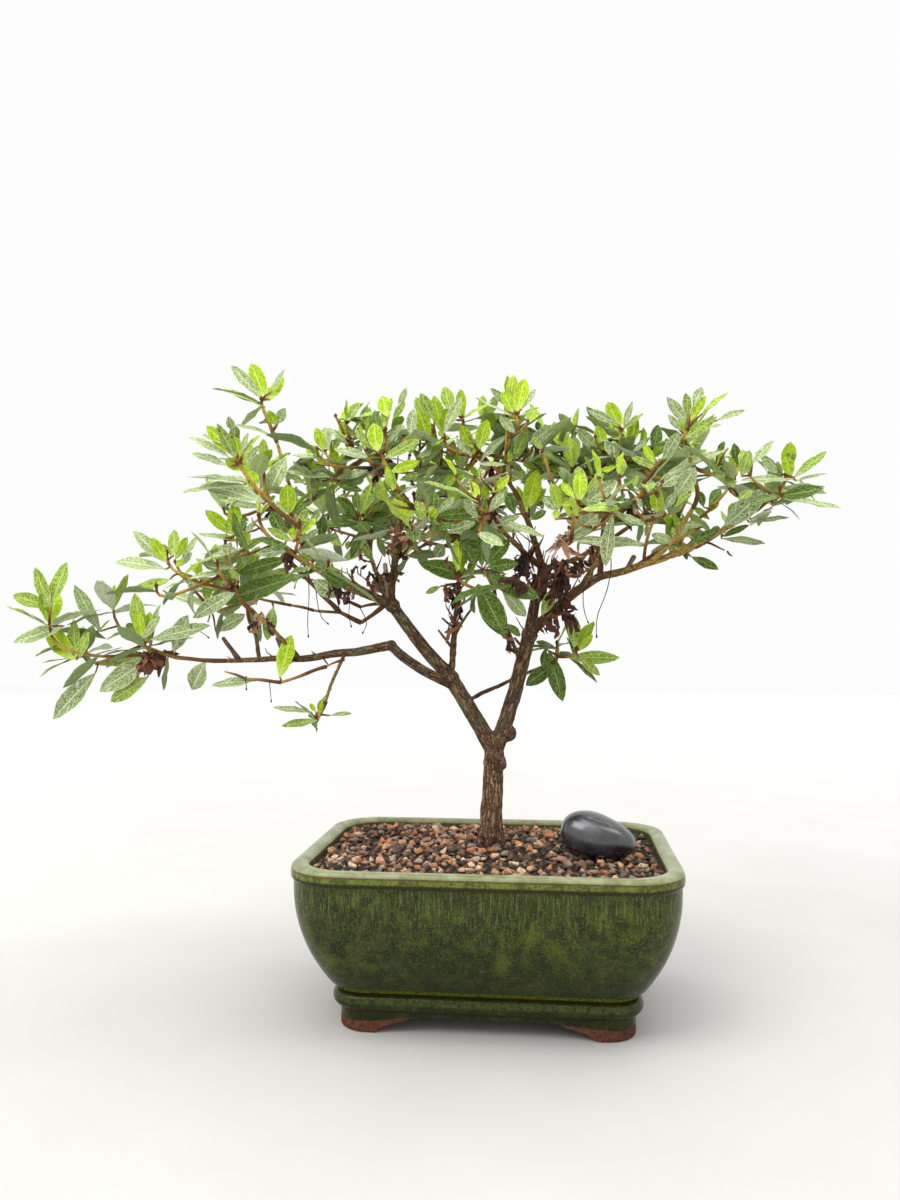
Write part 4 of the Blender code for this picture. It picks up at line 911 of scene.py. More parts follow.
def limbLine(name):
    path = limbPaths[name]
    index = list(limbs).index(name)
    length = sum((pointOn(path["controls"], (k + 1) / 8) - pointOn(path["controls"], k / 8)).length for k in range(8))
    count = max(6, int(length / bark["step"]))
    points = [wobbled(pointOn(path["controls"], k / count), k / count, index) for k in range(count + 1)]
    low, high = path["thick"]
    radii = [(low + (high - low) * k / count) / 2 for k in range(count + 1)]
    if name == "trunk":
        radii = [size * (1.0 + (bark["flare"] - 1.0) * (1.0 - k / count) ** bark["flareCurve"])
                 for k, size in enumerate(radii)]
        points[0] = points[0] - Vector((0.0, 0.0, bark["sunkFoot"]))
    elif (path["joint"] - points[0]).length > 0.2:
        gap = (points[0] - path["joint"]).length
        steps = max(1, int(gap / bark["step"]))
        points = [path["joint"].lerp(points[0], k / steps) for k in range(steps)] + points
        radii = [radii[0] * bark["joinSwell"]] * steps + radii
    return points, radii


limbLines = {name: limbLine(name) for name in limbs}


def snagLine(snag):
    limb, place, way, thick, _ = snag
    points = limbLines[limb][0]
    start = points[min(len(points) - 1, round(place * (len(points) - 1)))]
    way = Vector(way)
    kink = Vector((noise.noise(start), noise.noise(start * 1.7), 0.0)) * way.length * 0.12
    shares = (0.0, 0.25, 0.5, 0.75, 1.0)
    line = [start + way * share + kink * sin(pi * share) for share in shares]
    return line, [(thick[0] + (thick[1] - thick[0]) * share) / 2 for share in shares]


def barkMap():
    # centre line samples of every limb, to find where on which limb a corner lies
    samples = []
    for index, name in enumerate(limbs):
        points, radii = limbLines[name]
        low, high = goldenLimbs.get(name, (0.0, 0.0))
        frames = framedLine(points)
        for k, (centre, side, other, heading, gone) in enumerate(frames):
            samples.append((centre, side, other, heading, gone + index * bark["apart"], radii[k],
                            low + (high - low) * k / (len(frames) - 1)))
    tree = KDTree(len(samples))
    for index, sample in enumerate(samples):
        tree.insert(sample[0], index)
    tree.balance()
    return samples, tree


barkSamples, barkTree = barkMap()


def barkPlace(spot):
    # the limb coordinates of a corner: round the limb in mm, along it stretched, and the limb's own radius
    best = None
    for centre, index, gap in barkTree.find_n(spot, 4):
        sample = barkSamples[index]
        score = gap / sample[5]
        if best is None or score < best[0]:
            best = (score, sample)
    centre, side, other, heading, gone, radius, gold = best[1]
    out = spot - centre
    along = (gone + out.dot(heading)) * bark["stretch"]
    return Vector((out.dot(side), out.dot(other), along)), radius, gold


def relief(place, radius):
    # fissures that run along the limb, and slow lumps; thin limbs have less of both
    crack = abs(noise.noise(place * bark["fissureScale"]))
    fissure = max(0.0, 1.0 - crack / bark["fissureWidth"])
    across, along = bark["lumpScale"]
    lump = noise.noise(Vector((place.x * across, place.y * across, place.z * along + 5.0)))
    scale = min(1.0, radius / bark["fullRelief"])
    return lump * bark["lump"] * scale - fissure * bark["fissure"] * scale ** 1.3


def makeThickLimbs():
    heap = Heap()
    for name in thickLimbs:
        heap.add(*tubeAlong(*limbLines[name], bark["sides"])[:2])
    foot = Vector(limbRule["foot"])
    for x, y in bark["roots"]:  # root flare, low over the gravel
        out = Vector((x, y - foot.y, 0.0))
        line = [foot + out * share + Vector((0, 0, height)) for share, height, _ in bark["rootLine"]]
        heap.add(*tubeAlong(line, [radius for _, _, radius in bark["rootLine"]], bark["boughSides"])[:2])
    for x, y, z, width in bark["knots"]:
        kit = bmesh.new()
        bmesh.ops.create_icosphere(kit, subdivisions=2, radius=width)
        verts = [vert.co + Vector((x, y, z)) for vert in kit.verts]
        faces = [[vert.index for vert in face.verts] for face in kit.faces]
        kit.free()
        heap.add(verts, faces)
    item = heap.make("barkedLimbs")
    modifier = item.modifiers.new("oneSkin", "REMESH")
    modifier.mode = "VOXEL"
    modifier.voxel_size = bark["voxel"] * mm
    modifier.adaptivity = 0.0
    smoothing = item.modifiers.new("soften", "SMOOTH")
    smoothing.factor, smoothing.iterations = bark["soften"]
    settled(item)
    mesh = item.data
    found = [barkPlace((vert.co - potMiddle) / mm) for vert in mesh.vertices]
    normals = [vert.normal.copy() for vert in mesh.vertices]
    for vert, normal, (place, radius, _) in zip(mesh.vertices, normals, found):
        vert.co += normal * relief(place, radius) * mm
    places, sizes, golds = zip(*found)
    markBark(mesh, places, {"girth": sizes, "weathered": [0.0] * len(places), "golden": golds})
    smoothOver(item)
    return item


def markBark(mesh, places, marks):
    layer = mesh.attributes.new("barkPlace", "FLOAT_VECTOR", "POINT")
    layer.data.foreach_set("vector", [side for place in places for side in place])
    for name, values in marks.items():
        layer = mesh.attributes.new(name, "FLOAT", "POINT")
        layer.data.foreach_set("value", values)


def makeBoughs():
    heap = Heap()
    places, sizes, pales, golds = [], [], [], []
    lines = [(limbLines[name], 0.0, goldenLimbs.get(name, (0.0, 0.0))) for name in limbs if name not in thickLimbs]
    lines += [(snagLine(snag), snag[4], (0.0, 0.0)) for snag in snags.values()]
    for number, ((points, radii), pale, gold) in enumerate(lines):
        radii = [size * (1.0 + 0.1 * max(0.0, noise.noise(Vector((number * 3.7, k * 0.55, 0.0)))) +
                         0.05 * sin(k * 2.4)) for k, size in enumerate(radii)]
        verts, faces, gone = tubeAlong(points, radii, bark["boughSides"], bark["rough"], number * 5.0)
        heap.add(verts, faces)
        frames = framedLine(points)
        for index, vert in enumerate(verts):
            row = min(index // bark["boughSides"], len(points) - 1)
            centre, side, other, _, _ = frames[row]
            out = vert - centre
            along = (gone[index] + number * bark["apart"]) * bark["stretch"]
            places.append(Vector((out.dot(side), out.dot(other), along)))
            sizes.append(radii[row])
            pales.append(pale)
            golds.append(gold[0] + (gold[1] - gold[0]) * row / (len(points) - 1))
    item = heap.make("barkedBoughs")
    markBark(item.data, places, {"girth": sizes, "weathered": pales, "golden": golds})
    smoothOver(item)
    return item


def barkRecipe():
    place = attribute("barkPlace", 1)
    spot = inMillimetres(potMiddle)
    up, across = axisOf(spot, "Z"), axisOf(spot, "X")
    plates = grainy(place, 0.85, 4.0, 0.62)
    fine = grainy(place, 2.6, 3.0, 0.6)
    slow = grainy(spot, 0.07, 3.0)
    cracks = 1.0 - rise((plates - 0.5).maths("ABSOLUTE"), 0.0, 0.045)
    golden = attribute("golden") + (fine - 0.5) * 0.5
    old = rise(attribute("girth"), 1.3, 3.0) * (1.0 - rise(golden, 0.15, 0.6))
    young = blend(rise(fine, 0.35, 0.65), (0.08, 0.034, 0.013), (0.31, 0.165, 0.062))
    aged = blend(rise(plates, 0.36, 0.62), (0.095, 0.045, 0.023), (0.36, 0.215, 0.122))
    aged = blend(rise(fine, 0.54, 0.7) * 0.6, aged, (0.52, 0.38, 0.27))
    gilt = blend(rise(fine, 0.36, 0.62), (0.23, 0.13, 0.03), (0.62, 0.43, 0.115))
    moss = rise(slow + fine * 0.35, 0.66, 0.86) * rise(across, 30.0, -12.0) * rise(up, 128.0, 165.0)
    foot = rise(up, 101.0, 90.0) * rise(grainy(spot, 0.35, 3.0), 0.36, 0.6)
    colour = painted(
        blend(old, young, aged),
        (cracks * (0.35 + old * 0.5), (0.034, 0.017, 0.01)),
        (rise(fine, 0.47, 0.34) * 0.65, (0.03, 0.014, 0.007)),
        # painted shade: the bark grows darker higher up
        (rise(up, 118.0, 158.0) * 0.38, (0.022, 0.012, 0.007)),
        (rise(golden, 0.25, 0.7) * 0.93, gilt),
        (moss * 0.55, (0.17, 0.2, 0.09)),
        (foot * 0.8, (0.035, 0.02, 0.014)),
        (attribute("weathered") * (0.55 + fine * 0.4), (0.42, 0.36, 0.29)))
    height = plates * 0.7 - cracks * 0.8 + fine * 0.35
    return {"Base Color": colour, "Roughness": 0.82 + fine * 0.12, "Normal": bumped(height, 0.6 * mm, 1.0),
            "Specular IOR Level": 0.2}


barkMaterial = makeMaterial("fissuredBark", barkRecipe, (0.2, 0.12, 0.08))
thinLimbs = [name for name in limbs if name not in thickLimbs]
dress(makeThickLimbs(), [barkMaterial], list(thickLimbs))
dress(makeBoughs(), [barkMaterial], thinLimbs)
print("bark made")


# twigs and leaves, grown by the rule of the solids and carried further

growth = {  # lengths in mm, spreads in degrees
    "goldenTurn": 137.508, "lowest": -0.55, "jitter": 0.09, "stemStart": 0.35, "stemRise": 0.3,
    "forkFrom": 0.22, "forkOver": 0.5, "twigBend": 0.4, "twigDip": 0.25, "twigRise": 0.34,
    "budLength": 5.0, "upturn": 0.6, "leafLength": 32.0, "leavesPerShoot": 5, "spread": (32.0, 90.0), "sway": 6.0,
    "sideSpread": (48.0, 66.0), "petalSway": 0.35, "youngShare": 0.78, "tilt": 24, "toneSway": 0.18,
    "stemThick": (1.25, 0.85), "shootThick": (0.95, 0.75), "hearts": (8, 30), "middles": (38, 66), "outers": (78, 112),
    "sideLeaves": (50, 86), "smallLeaves": 0.35, "sideTwigs": (38, 68), "twigReach": (13.0, 24.0), "shortest": 16.0,
    "apart": 11.0, "sideThick": (0.8, 0.62), "sizes": (0.86, 1.08), "budSteps": (0.1, 0.12),
    "sidePlace": (0.55, 0.8), "sideSizes": (0.78, 0.98), "ahead": 0.05, "leafPlace": (0.42, 0.5, 0.04),
    "leafSizes": (0.75, 0.98), "tipSizes": (0.88, 1.08), "twigSizes": (0.66, 0.88), "twigPlace": (0.38, 0.78),
    "twigLift": 0.35, "tries": 6,
}
flowers = {"place": (0.35, 0.55), "each": 3, "sway": 0.7, "off": 1.5, "clumpAlong": 0.08, "clumpSway": 0.6,
           "clumpAside": 3.0, "clumpCurve": 1.3, "clumpDrop": 0.7, "stalk": (0.45, 0.35)}
shade = {"below": 14.0, "over": 36.0, "sway": 0.4, "dark": 0.42, "silver": 0.55}  # which green a leaf gets
goldenStep = radians(growth["goldenTurn"])
anyTurn = (0, 6.28)
upright = Vector((0, 0, 1))

masses = {  # bough, middle, reach each way, shoots, first turn, withered flowers
    "far_left_leaves": ("left_bough", (-229, -12, 201), (32, 17, 23), 4, 65, 1),
    "left_side_leaves": ("left_side_bough", (-164, -19, 241), (28, 15, 19), 5, 30, 1),
    "left_back_leaves": ("left_back_bough", (-160, 36, 229), (24, 17, 15), 3, 310, 0),
    "upper_left_leaves": ("upper_left_bough", (-126, -14, 281), (30, 18, 22), 5, 120, 1),
    "top_left_leaves": ("top_left_twig", (-138, 3, 344), (2, 2, 1), 1, 0, 0),
    "left_front_leaves": ("left_front_bough", (-106, -58, 250), (30, 20, 20), 5, 160, 1),
    "back_left_leaves": ("left_back_limb", (-96, 66, 280), (30, 22, 20), 4, 10, 0),
    "middle_left_leaves": ("middle_left_bough", (-70, -12, 305), (30, 24, 22), 6, 166, 2),
    "middle_leaves": ("upright_bough", (-28, 14, 268), (24, 20, 20), 3, 30, 1),
    "middle_top_leaves": ("middle_bough", (0, -6, 311), (30, 22, 20), 6, 165, 1),
    "front_leaves": ("front_bough", (-12, -54, 268), (32, 20, 22), 5, 15, 1),
    "back_leaves": ("back_bough", (-8, 66, 294), (34, 22, 20), 4, 70, 0),
    "right_front_leaves": ("right_front_bough", (66, -54, 266), (30, 20, 18), 5, 350, 1),
    "right_rise_leaves": ("right_rise_bough", (62, 4, 304), (24, 22, 18), 5, 35, 2),
    "right_back_leaves": ("right_back_bough", (86, 62, 284), (30, 22, 20), 3, 45, 0),
    "right_top_leaves": ("right_upper_bough", (105, -10, 299), (22, 19, 14), 4, 275, 0),
    "far_right_leaves": ("right_outer_bough", (152, 0, 284), (20, 18, 12), 4, 10, 0),
    "right_low_leaves": ("right_low_bough", (128, 30, 258), (22, 16, 11), 3, 75, 0),
    "low_front_leaves": ("low_front_twig", (-1, -32, 236), (14, 11, 10), 3, 50, 0),
    "withered_flowers": ("flower_twig", (39, -18, 250), (2, 2, 1), 1, 0, 4),
    "low_right_leaves": ("low_right_twig", (45, 23, 197), (10, 9, 4), 2, 155, 0),
    "hanging_leaves": ("hanging_twig", (-97, -19, 158), (1, 1, 1), 1, 0, 0),
}

leafKinds = {  # ranges: length in mm, width as a share of it, fold in degrees, curl, how the outline swells, twist
    "young": ((15.0, 21.0), (0.38, 0.48), (12, 30), (-0.55, 0.0), (1.0, 1.25), (-0.35, 0.35)),
    "fresh": ((20.0, 26.0), (0.3, 0.4), (8, 24), (-0.15, 0.4), (1.05, 1.25), (-0.35, 0.35)),
    "outer": ((26.0, 33.0), (0.24, 0.31), (4, 22), (-0.05, 0.6), (1.0, 1.25), (-0.35, 0.35)),
    "small": ((11.0, 19.0), (0.3, 0.4), (6, 24), (-0.2, 0.4), (1.0, 1.25), (-0.35, 0.35)),
    "seen": (None, None, (5, 18), (-0.1, 0.25), (1.0, 1.2), (-0.2, 0.2)),
    "petal": ((6.0, 13.0), (0.16, 0.36), (25, 68), (-2.2, 2.2), (0.8, 1.2), (-3.2, 3.2)),
}
openMasses = ("far_left_leaves", "left_side_leaves", "left_back_leaves", "upper_left_leaves", "top_left_leaves",
              "left_front_leaves", "right_top_leaves", "far_right_leaves", "right_low_leaves", "low_right_leaves",
              "hanging_leaves", "low_front_leaves")
smallerLeaves = {"hanging_leaves": 0.7}
leafPieces = {"brightLeaves": [], "freshLeaves": [], "silverLeaves": [], "shadeLeaves": []}
witheredPetals = []
twigLines = []
threadSpots = []


def shaken(rng, reach):
    # a small way off, anywhere
    return Vector([rng.uniform(-reach, reach) for _ in range(3)])


def clamped(value):
    return min(1.0, max(0.0, value))


def shootTips(mass, rng):
    middle, reach = Vector(mass[1]), Vector(mass[2])
    tips = []
    for index in range(mass[3]):
        share = (index + 0.5) / mass[3]
        height = 1.0 - share * (1.0 - growth["lowest"])
        around = sqrt(max(0.0, 1.0 - height * height))
        turn = radians(mass[4] + index * growth["goldenTurn"])
        offset = Vector((around * cos(turn), around * sin(turn), height))
        offset += shaken(rng, growth["jitter"])
        tips.append(middle + Vector([a * b for a, b in zip(offset, reach)]))
    return tips


def stemBase(mass):
    controls = limbPaths[mass[0]]["controls"]
    heading = (controls[-1] - pointOn(controls, 1.0 - 1.0 / limbRule["rings"])).normalized()
    return controls[-1] + heading * limbRule["clear"], heading


def shootPaths(base, heading, tips, rng):
    reach = (tips[0] - base).length
    rising = Vector((0, 0, reach * growth["stemRise"]))
    stem = [base, base + heading * reach * growth["stemStart"], tips[0] - rising, tips[0]]
    paths = [stem]
    for index, tip in enumerate(tips[1:]):
        place = growth["forkFrom"] + growth["forkOver"] * (index + 1) / len(tips) + rng.uniform(-0.05, 0.05)
        fork = pointOn(stem, place)
        lift = Vector((0, 0, (tip - fork).length * growth["twigRise"]))
        paths.append([fork, fork.lerp(tip, growth["twigBend"]) - lift * growth["twigDip"], tip - lift, tip])
    return paths


def turned(axis, around, away):
    # a direction so many degrees away from an axis, at a place round it
    guide = upright if abs(axis.z) < 0.9 else Vector((1, 0, 0))
    side = axis.cross(guide).normalized()
    other = axis.cross(side)
    spread = side * cos(around) + other * sin(around)
    away = radians(away)
    return (axis * cos(away) + spread * sin(away)).normalized()


def leafRow(rng, kind, root, heading, up, length, width):
    # a leaf or petal as a row: root, heading, up, length, width, fold, curl, swell, twist and phase of its wave
    fold, curl, swell, twist = [rng.uniform(*span) for span in leafKinds[kind][2:]]
    return (*root, *heading, *up, length, width, radians(fold), curl, swell, twist, rng.uniform(*anyTurn))


def addLeaf(piece, kind, root, heading, axis, rng, size=1.0, tone=0.5, length=None):
    up = axis - heading * axis.dot(heading)
    if up.length < 0.1:
        up = upright - heading * heading.z
    tilt = radians(rng.uniform(-growth["tilt"], growth["tilt"]))
    up = Matrix.Rotation(tilt, 3, heading) @ up.normalized()
    length = (length or rng.uniform(*leafKinds[kind][0])) * size
    width = length * rng.uniform(*leafKinds[kind][1])
    row = leafRow(rng, kind, root, heading, up, length, width)
    leafPieces[piece].append(row + (clamped(tone + rng.uniform(-growth["toneSway"], growth["toneSway"])),))


def shadeOf(mass, spot, rng):
    # low and inner leaves are older and get the dark green of painted shade, high and outer ones fresher
    light = (spot.z - mass[1][2] + shade["below"]) / shade["over"] + rng.uniform(-shade["sway"], shade["sway"])
    if light < shade["dark"]:
        return "shadeLeaves"
    return "silverLeaves" if rng.random() < shade["silver"] else "freshLeaves"


def addRosette(mass, tip, axis, first, rng, size=1.0, hearts=3, outer=3, middle=2):
    # hearts stand up, the older leaves below them open wide
    turn = first + radians(70)
    tone = rng.uniform(0.2, 0.8)
    for leaf in range(hearts):
        heading = turned(axis, turn + goldenStep * leaf, rng.uniform(*growth["hearts"]))
        addLeaf("brightLeaves", "young", tip + axis * 0.8, heading, axis, rng, size, tone)
    for leaf in range(middle):
        heading = turned(axis, turn + 0.9 + goldenStep * leaf, rng.uniform(*growth["middles"]))
        piece = "brightLeaves" if rng.random() < 0.3 else "freshLeaves"
        addLeaf(piece, "fresh", tip - axis * 0.8, heading, axis, rng, size, tone)
    for leaf in range(outer):
        heading = turned(axis, turn + 2.0 + goldenStep * leaf, rng.uniform(*growth["outers"]))
        addLeaf(shadeOf(mass, tip, rng), "outer", tip - axis * (2.5 + leaf), heading, axis, rng, size,
                rng.uniform(0.2, 0.8))


def withinMass(mass, spot):
    middle, reach = Vector(mass[1]), Vector(mass[2])
    return Vector([(a - b) / (c + 8.0) for a, b, c in zip(spot, middle, reach)]).length


def spotAlong(controls, place):
    # a spot on a line, and the way the line goes there
    spot = pointOn(controls, place)
    return spot, (pointOn(controls, min(1.0, place + growth["ahead"])) - spot).normalized()


def growShoot(name, index, controls, rng, extra):
    # rng draws what the solids draw too, extra what only this script adds
    mass = masses[name]
    scale = smallerLeaves.get(name, 1.0)
    tip = controls[-1]
    end = (tip - pointOn(controls, 0.9)).normalized()
    axis = (end + upright * growth["upturn"]).normalized()
    twigLines.append((controls, axis, growth["stemThick"] if index == 0 else growth["shootThick"], 1.0))
    first = rng.uniform(0, 2 * pi)
    low, high = growth["spread"]
    for leaf in range(growth["leavesPerShoot"]):
        away = low + (high - low) * leaf / (growth["leavesPerShoot"] - 1) + rng.uniform(-growth["sway"], growth["sway"])
        size = rng.uniform(*growth["sizes"]) * scale
        root = tip - axis * growth["budLength"] * (growth["budSteps"][0] + growth["budSteps"][1] * leaf)
        heading = turned(axis, first + goldenStep * leaf, away)
        upper = leaf < 2  # the upper two are young
        length = growth["leafLength"] * size * (growth["youngShare"] if upper and mass[3] > 1 else 1.0)
        piece = extra.choice(("brightLeaves", "freshLeaves")) if upper else shadeOf(mass, tip, extra)
        kind = "fresh" if upper else "outer"
        addLeaf(piece, kind, root, heading, axis, extra, 1.0, extra.uniform(0.25, 0.75), length)
    spot, along = spotAlong(controls, rng.uniform(*growth["sidePlace"]))
    around = rng.uniform(0, 2 * pi)
    heading = turned(along, around, rng.uniform(*growth["sideSpread"]))
    size = rng.uniform(*growth["sideSizes"]) * scale
    addLeaf(shadeOf(mass, spot, extra), "outer", spot, heading, along, extra, size)
    if name == "withered_flowers":
        return
    airy = name in openMasses
    addRosette(mass, tip, axis, first, extra, extra.uniform(*growth["tipSizes"]) * scale, extra.choice((1, 2, 2, 3)),
               extra.choice((1, 2)) if airy else extra.choice((2, 3)), extra.choice((1, 2)))
    growSideLeaves(mass, controls, extra, (1, 2, 3) if airy else (4, 5, 6), scale)
    if name != "hanging_leaves":
        growSideTwigs(mass, controls, extra, (0, 1) if airy else (2, 3))


def growSideLeaves(mass, controls, extra, counts, scale):
    turn = extra.uniform(*anyTurn)
    count = extra.choice(counts)
    first, run, shake = growth["leafPlace"]
    for leaf in range(count):
        spot, along = spotAlong(controls, first + run * leaf / count + extra.uniform(-shake, shake))
        turn += goldenStep
        heading = turned(along, turn, extra.uniform(*growth["sideLeaves"]))
        kind = "small" if extra.random() < growth["smallLeaves"] else "outer"
        addLeaf(shadeOf(mass, spot, extra), kind, spot, heading, along, extra,
                extra.uniform(*growth["leafSizes"]) * scale)


def growSideTwigs(mass, controls, extra, counts):
    if (controls[-1] - controls[0]).length < growth["shortest"]:
        return
    for _ in range(extra.choice(counts)):
        for _ in range(growth["tries"]):
            fork, along = spotAlong(controls, extra.uniform(*growth["twigPlace"]))
            around = extra.uniform(*anyTurn)
            way = turned(along, around, extra.uniform(*growth["sideTwigs"])) + upright * growth["twigLift"]
            way.normalize()
            tip = fork + way * extra.uniform(*growth["twigReach"])
            if withinMass(mass, tip) < 1.0 and (tip - controls[-1]).length > growth["apart"]:
                break
        else:
            continue
        line = [fork, fork.lerp(tip, 0.4) - upright, tip - upright * 4.0, tip]
        axis = ((tip - line[2]).normalized() + way + upright * 0.3).normalized()
        twigLines.append((line, axis, growth["sideThick"], 0.8))
        addRosette(mass, tip, axis, extra.uniform(*anyTurn), extra, extra.uniform(*growth["twigSizes"]),
                   extra.choice((2, 2, 3)), extra.choice((1, 2)), extra.choice((1, 2)))


def hangingWay(rng, sway):
    return Vector((rng.uniform(-sway, sway), rng.uniform(-sway, sway), -1.0)).normalized()


def growFlowers(controls, count, rng, extra):
    # withered flowers hang in a brown clump, with a thread or two
    spot = pointOn(controls, rng.uniform(*flowers["place"]))
    for _ in range(2):
        way = hangingWay(rng, growth["petalSway"])
        rng.uniform(0.7, 1.1)  # the solids draw a size here
        hangPetal(spot, way, extra)
    for _ in range(count):
        way = hangingWay(extra, flowers["sway"])
        hangPetal(spot + shaken(extra, flowers["off"]), way, extra)
    threadSpots.append((spot, extra.random()))


def hangPetal(root, way, extra, size=1.0, tone=None):
    up = Vector([extra.gauss(0, 1) for _ in range(3)])
    up = (up - way * up.dot(way)).normalized()
    length = extra.uniform(*leafKinds["petal"][0]) * size
    tone = extra.random() ** 1.7 if tone is None else clamped(tone + extra.uniform(-0.1, 0.2))
    width = length * extra.uniform(*leafKinds["petal"][1])
    witheredPetals.append(leafRow(extra, "petal", root, way, up, length, width) + (tone,))


for massIndex, (massName, mass) in enumerate(masses.items()):
    rng = random.Random(100 + massIndex)
    extra = random.Random(900 + massIndex)
    base, heading = stemBase(mass)
    paths = shootPaths(base, heading, shootTips(mass, rng), rng)
    for index, controls in enumerate(paths):
        growShoot(massName, index, controls, rng, extra)
    for flower in range(mass[5]):
        growFlowers(paths[flower % len(paths)], flowers["each"], rng, extra)
print("shoots grown,", len(twigLines), "twigs")

clumps = (  # limb, place, how many petals, how far down they spread in mm
    ("middle_limb", 0.85, 8, 5), ("flower_twig", 0.75, 8, 7), ("upper_left_bough", 0.35, 5, 4),
    ("middle_left_bough", 0.62, 6, 4), ("upright_bough", 0.62, 5, 7), ("upright_bough", 0.92, 6, 5),
    ("front_bough", 0.35, 6, 5), ("back_bough", 0.4, 8, 6), ("right_rise_bough", 0.4, 7, 6),
    ("left_front_bough", 0.7, 5, 5), ("left_side_bough", 0.8, 4, 4), ("low_front_twig", 0.5, 4, 4),
    ("left_back_limb", 0.7, 9, 6), ("right_back_bough", 0.5, 9, 7),
)


def hangClumps():
    for index, (limb, place, count, drop) in enumerate(clumps):
        extra = random.Random(300 + index)
        controls = limbPaths[limb]["controls"]
        radius = limbPaths[limb]["thick"][1] / 2
        shift, aside = flowers["clumpAlong"], flowers["clumpAside"]
        for petal in range(count):
            spot = pointOn(controls, min(1.0, place + extra.uniform(-shift, shift)))
            around = extra.uniform(*anyTurn)
            out = Vector((cos(around), sin(around), -0.3)) * radius
            fall = -drop * (petal / count) ** flowers["clumpCurve"] * flowers["clumpDrop"]
            low = Vector((extra.uniform(-aside, aside), extra.uniform(-aside, aside), fall))
            way = hangingWay(extra, flowers["clumpSway"])
            if low.z < -3.0:  # a dry stalk carries what hangs lower
                twigLines.append(([spot + out * 0.3, spot + out * 1.6, spot + out + low * 0.6, spot + out + low],
                                  Vector((0, 0, -1)), flowers["stalk"], 0.0))
            hangPetal(spot + out * 0.8 + low, way, extra)
        threadSpots.append((pointOn(controls, place), extra.random()))


hangClumps()

thickets = (  # limb, from and to along it, how many dry twiglets, their length in mm
    ("upper_left_limb", 0.8, 1, 8, (9, 22)), ("middle_left_bough", 0.05, 0.75, 10, (8, 20)),
    ("upper_left_bough", 0.05, 0.6, 7, (8, 18)), ("upright_bough", 0.25, 0.95, 7, (5, 14)),
    ("middle_limb", 0.1, 0.95, 12, (8, 20)), ("right_limb", 0.86, 1, 6, (8, 18)),
    ("right_bough", 0.05, 0.85, 8, (7, 18)), ("middle_bough", 0.05, 0.8, 7, (7, 16)),
    ("left_bough", 0.35, 0.95, 5, (5, 12)), ("right_rise_bough", 0.1, 0.8, 6, (7, 15)),
    ("front_bough", 0.1, 0.8, 5, (7, 15)), ("left_front_bough", 0.1, 0.8, 5, (7, 15)),
    ("back_bough", 0.1, 0.8, 5, (7, 15)), ("left_back_limb", 0.1, 0.8, 5, (7, 15)),
)


def growThickets():
    for index, (limb, low, high, count, lengths) in enumerate(thickets):
        extra = random.Random(500 + index)
        controls = limbPaths[limb]["controls"]
        turn = extra.uniform(*anyTurn)
        for twiglet in range(count):
            place = min(0.99, low + (high - low) * (twiglet + extra.random()) / count)
            spot = pointOn(controls, place)
            along = (pointOn(controls, min(1.0, place + 0.05)) - pointOn(controls, place - 0.05)).normalized()
            turn += goldenStep
            way = turned(along, turn, extra.uniform(18, 52))
            reach = extra.uniform(*lengths)
            tip = spot + (way + upright * 0.35).normalized() * reach
            bend = [shaken(extra, 0.2) * reach for _ in range(2)]
            twigLines.append(([spot, spot.lerp(tip, 0.35) + bend[0], spot.lerp(tip, 0.7) + bend[1], tip],
                              way, (extra.uniform(0.45, 0.75), 0.22), extra.uniform(0.1, 0.45)))


growThickets()

bareTwigs = {  # corners in mm, thickness at both ends, how young it is
    "bentTwig": (((-59, 3, 224), (-75, 1, 212), (-87, -2, 218), (-107, -4, 238), (-119, -5, 251)), (1.5, 1), 0.25),
    "bentArm": (((-87, -2, 218), (-102, -3, 219), (-115, -4, 222), (-134, -6, 226)), (0.9, 0.7), 0.4),
    "shortArm": (((-62, 3, 223), (-75, 0, 221), (-88, -2, 227)), (1, 0.7), 0.3),
    "goldenUnder": (((-82, -12, 191), (-92, -13, 187), (-118, -14, 178), (-139, -14, 180), (-151, -14, 184)),
                    (1.05, 0.7), 0.55),
}

for corners, thick, young in bareTwigs.values():
    spots = [Vector(corner) for corner in corners]
    for first, second in zip(spots, spots[1:]):
        share = 1.0 / (len(spots) - 1)
        twigLines.append(([first, first.lerp(second, 0.3), first.lerp(second, 0.7), second],
                          (second - first).normalized(), thick, young))

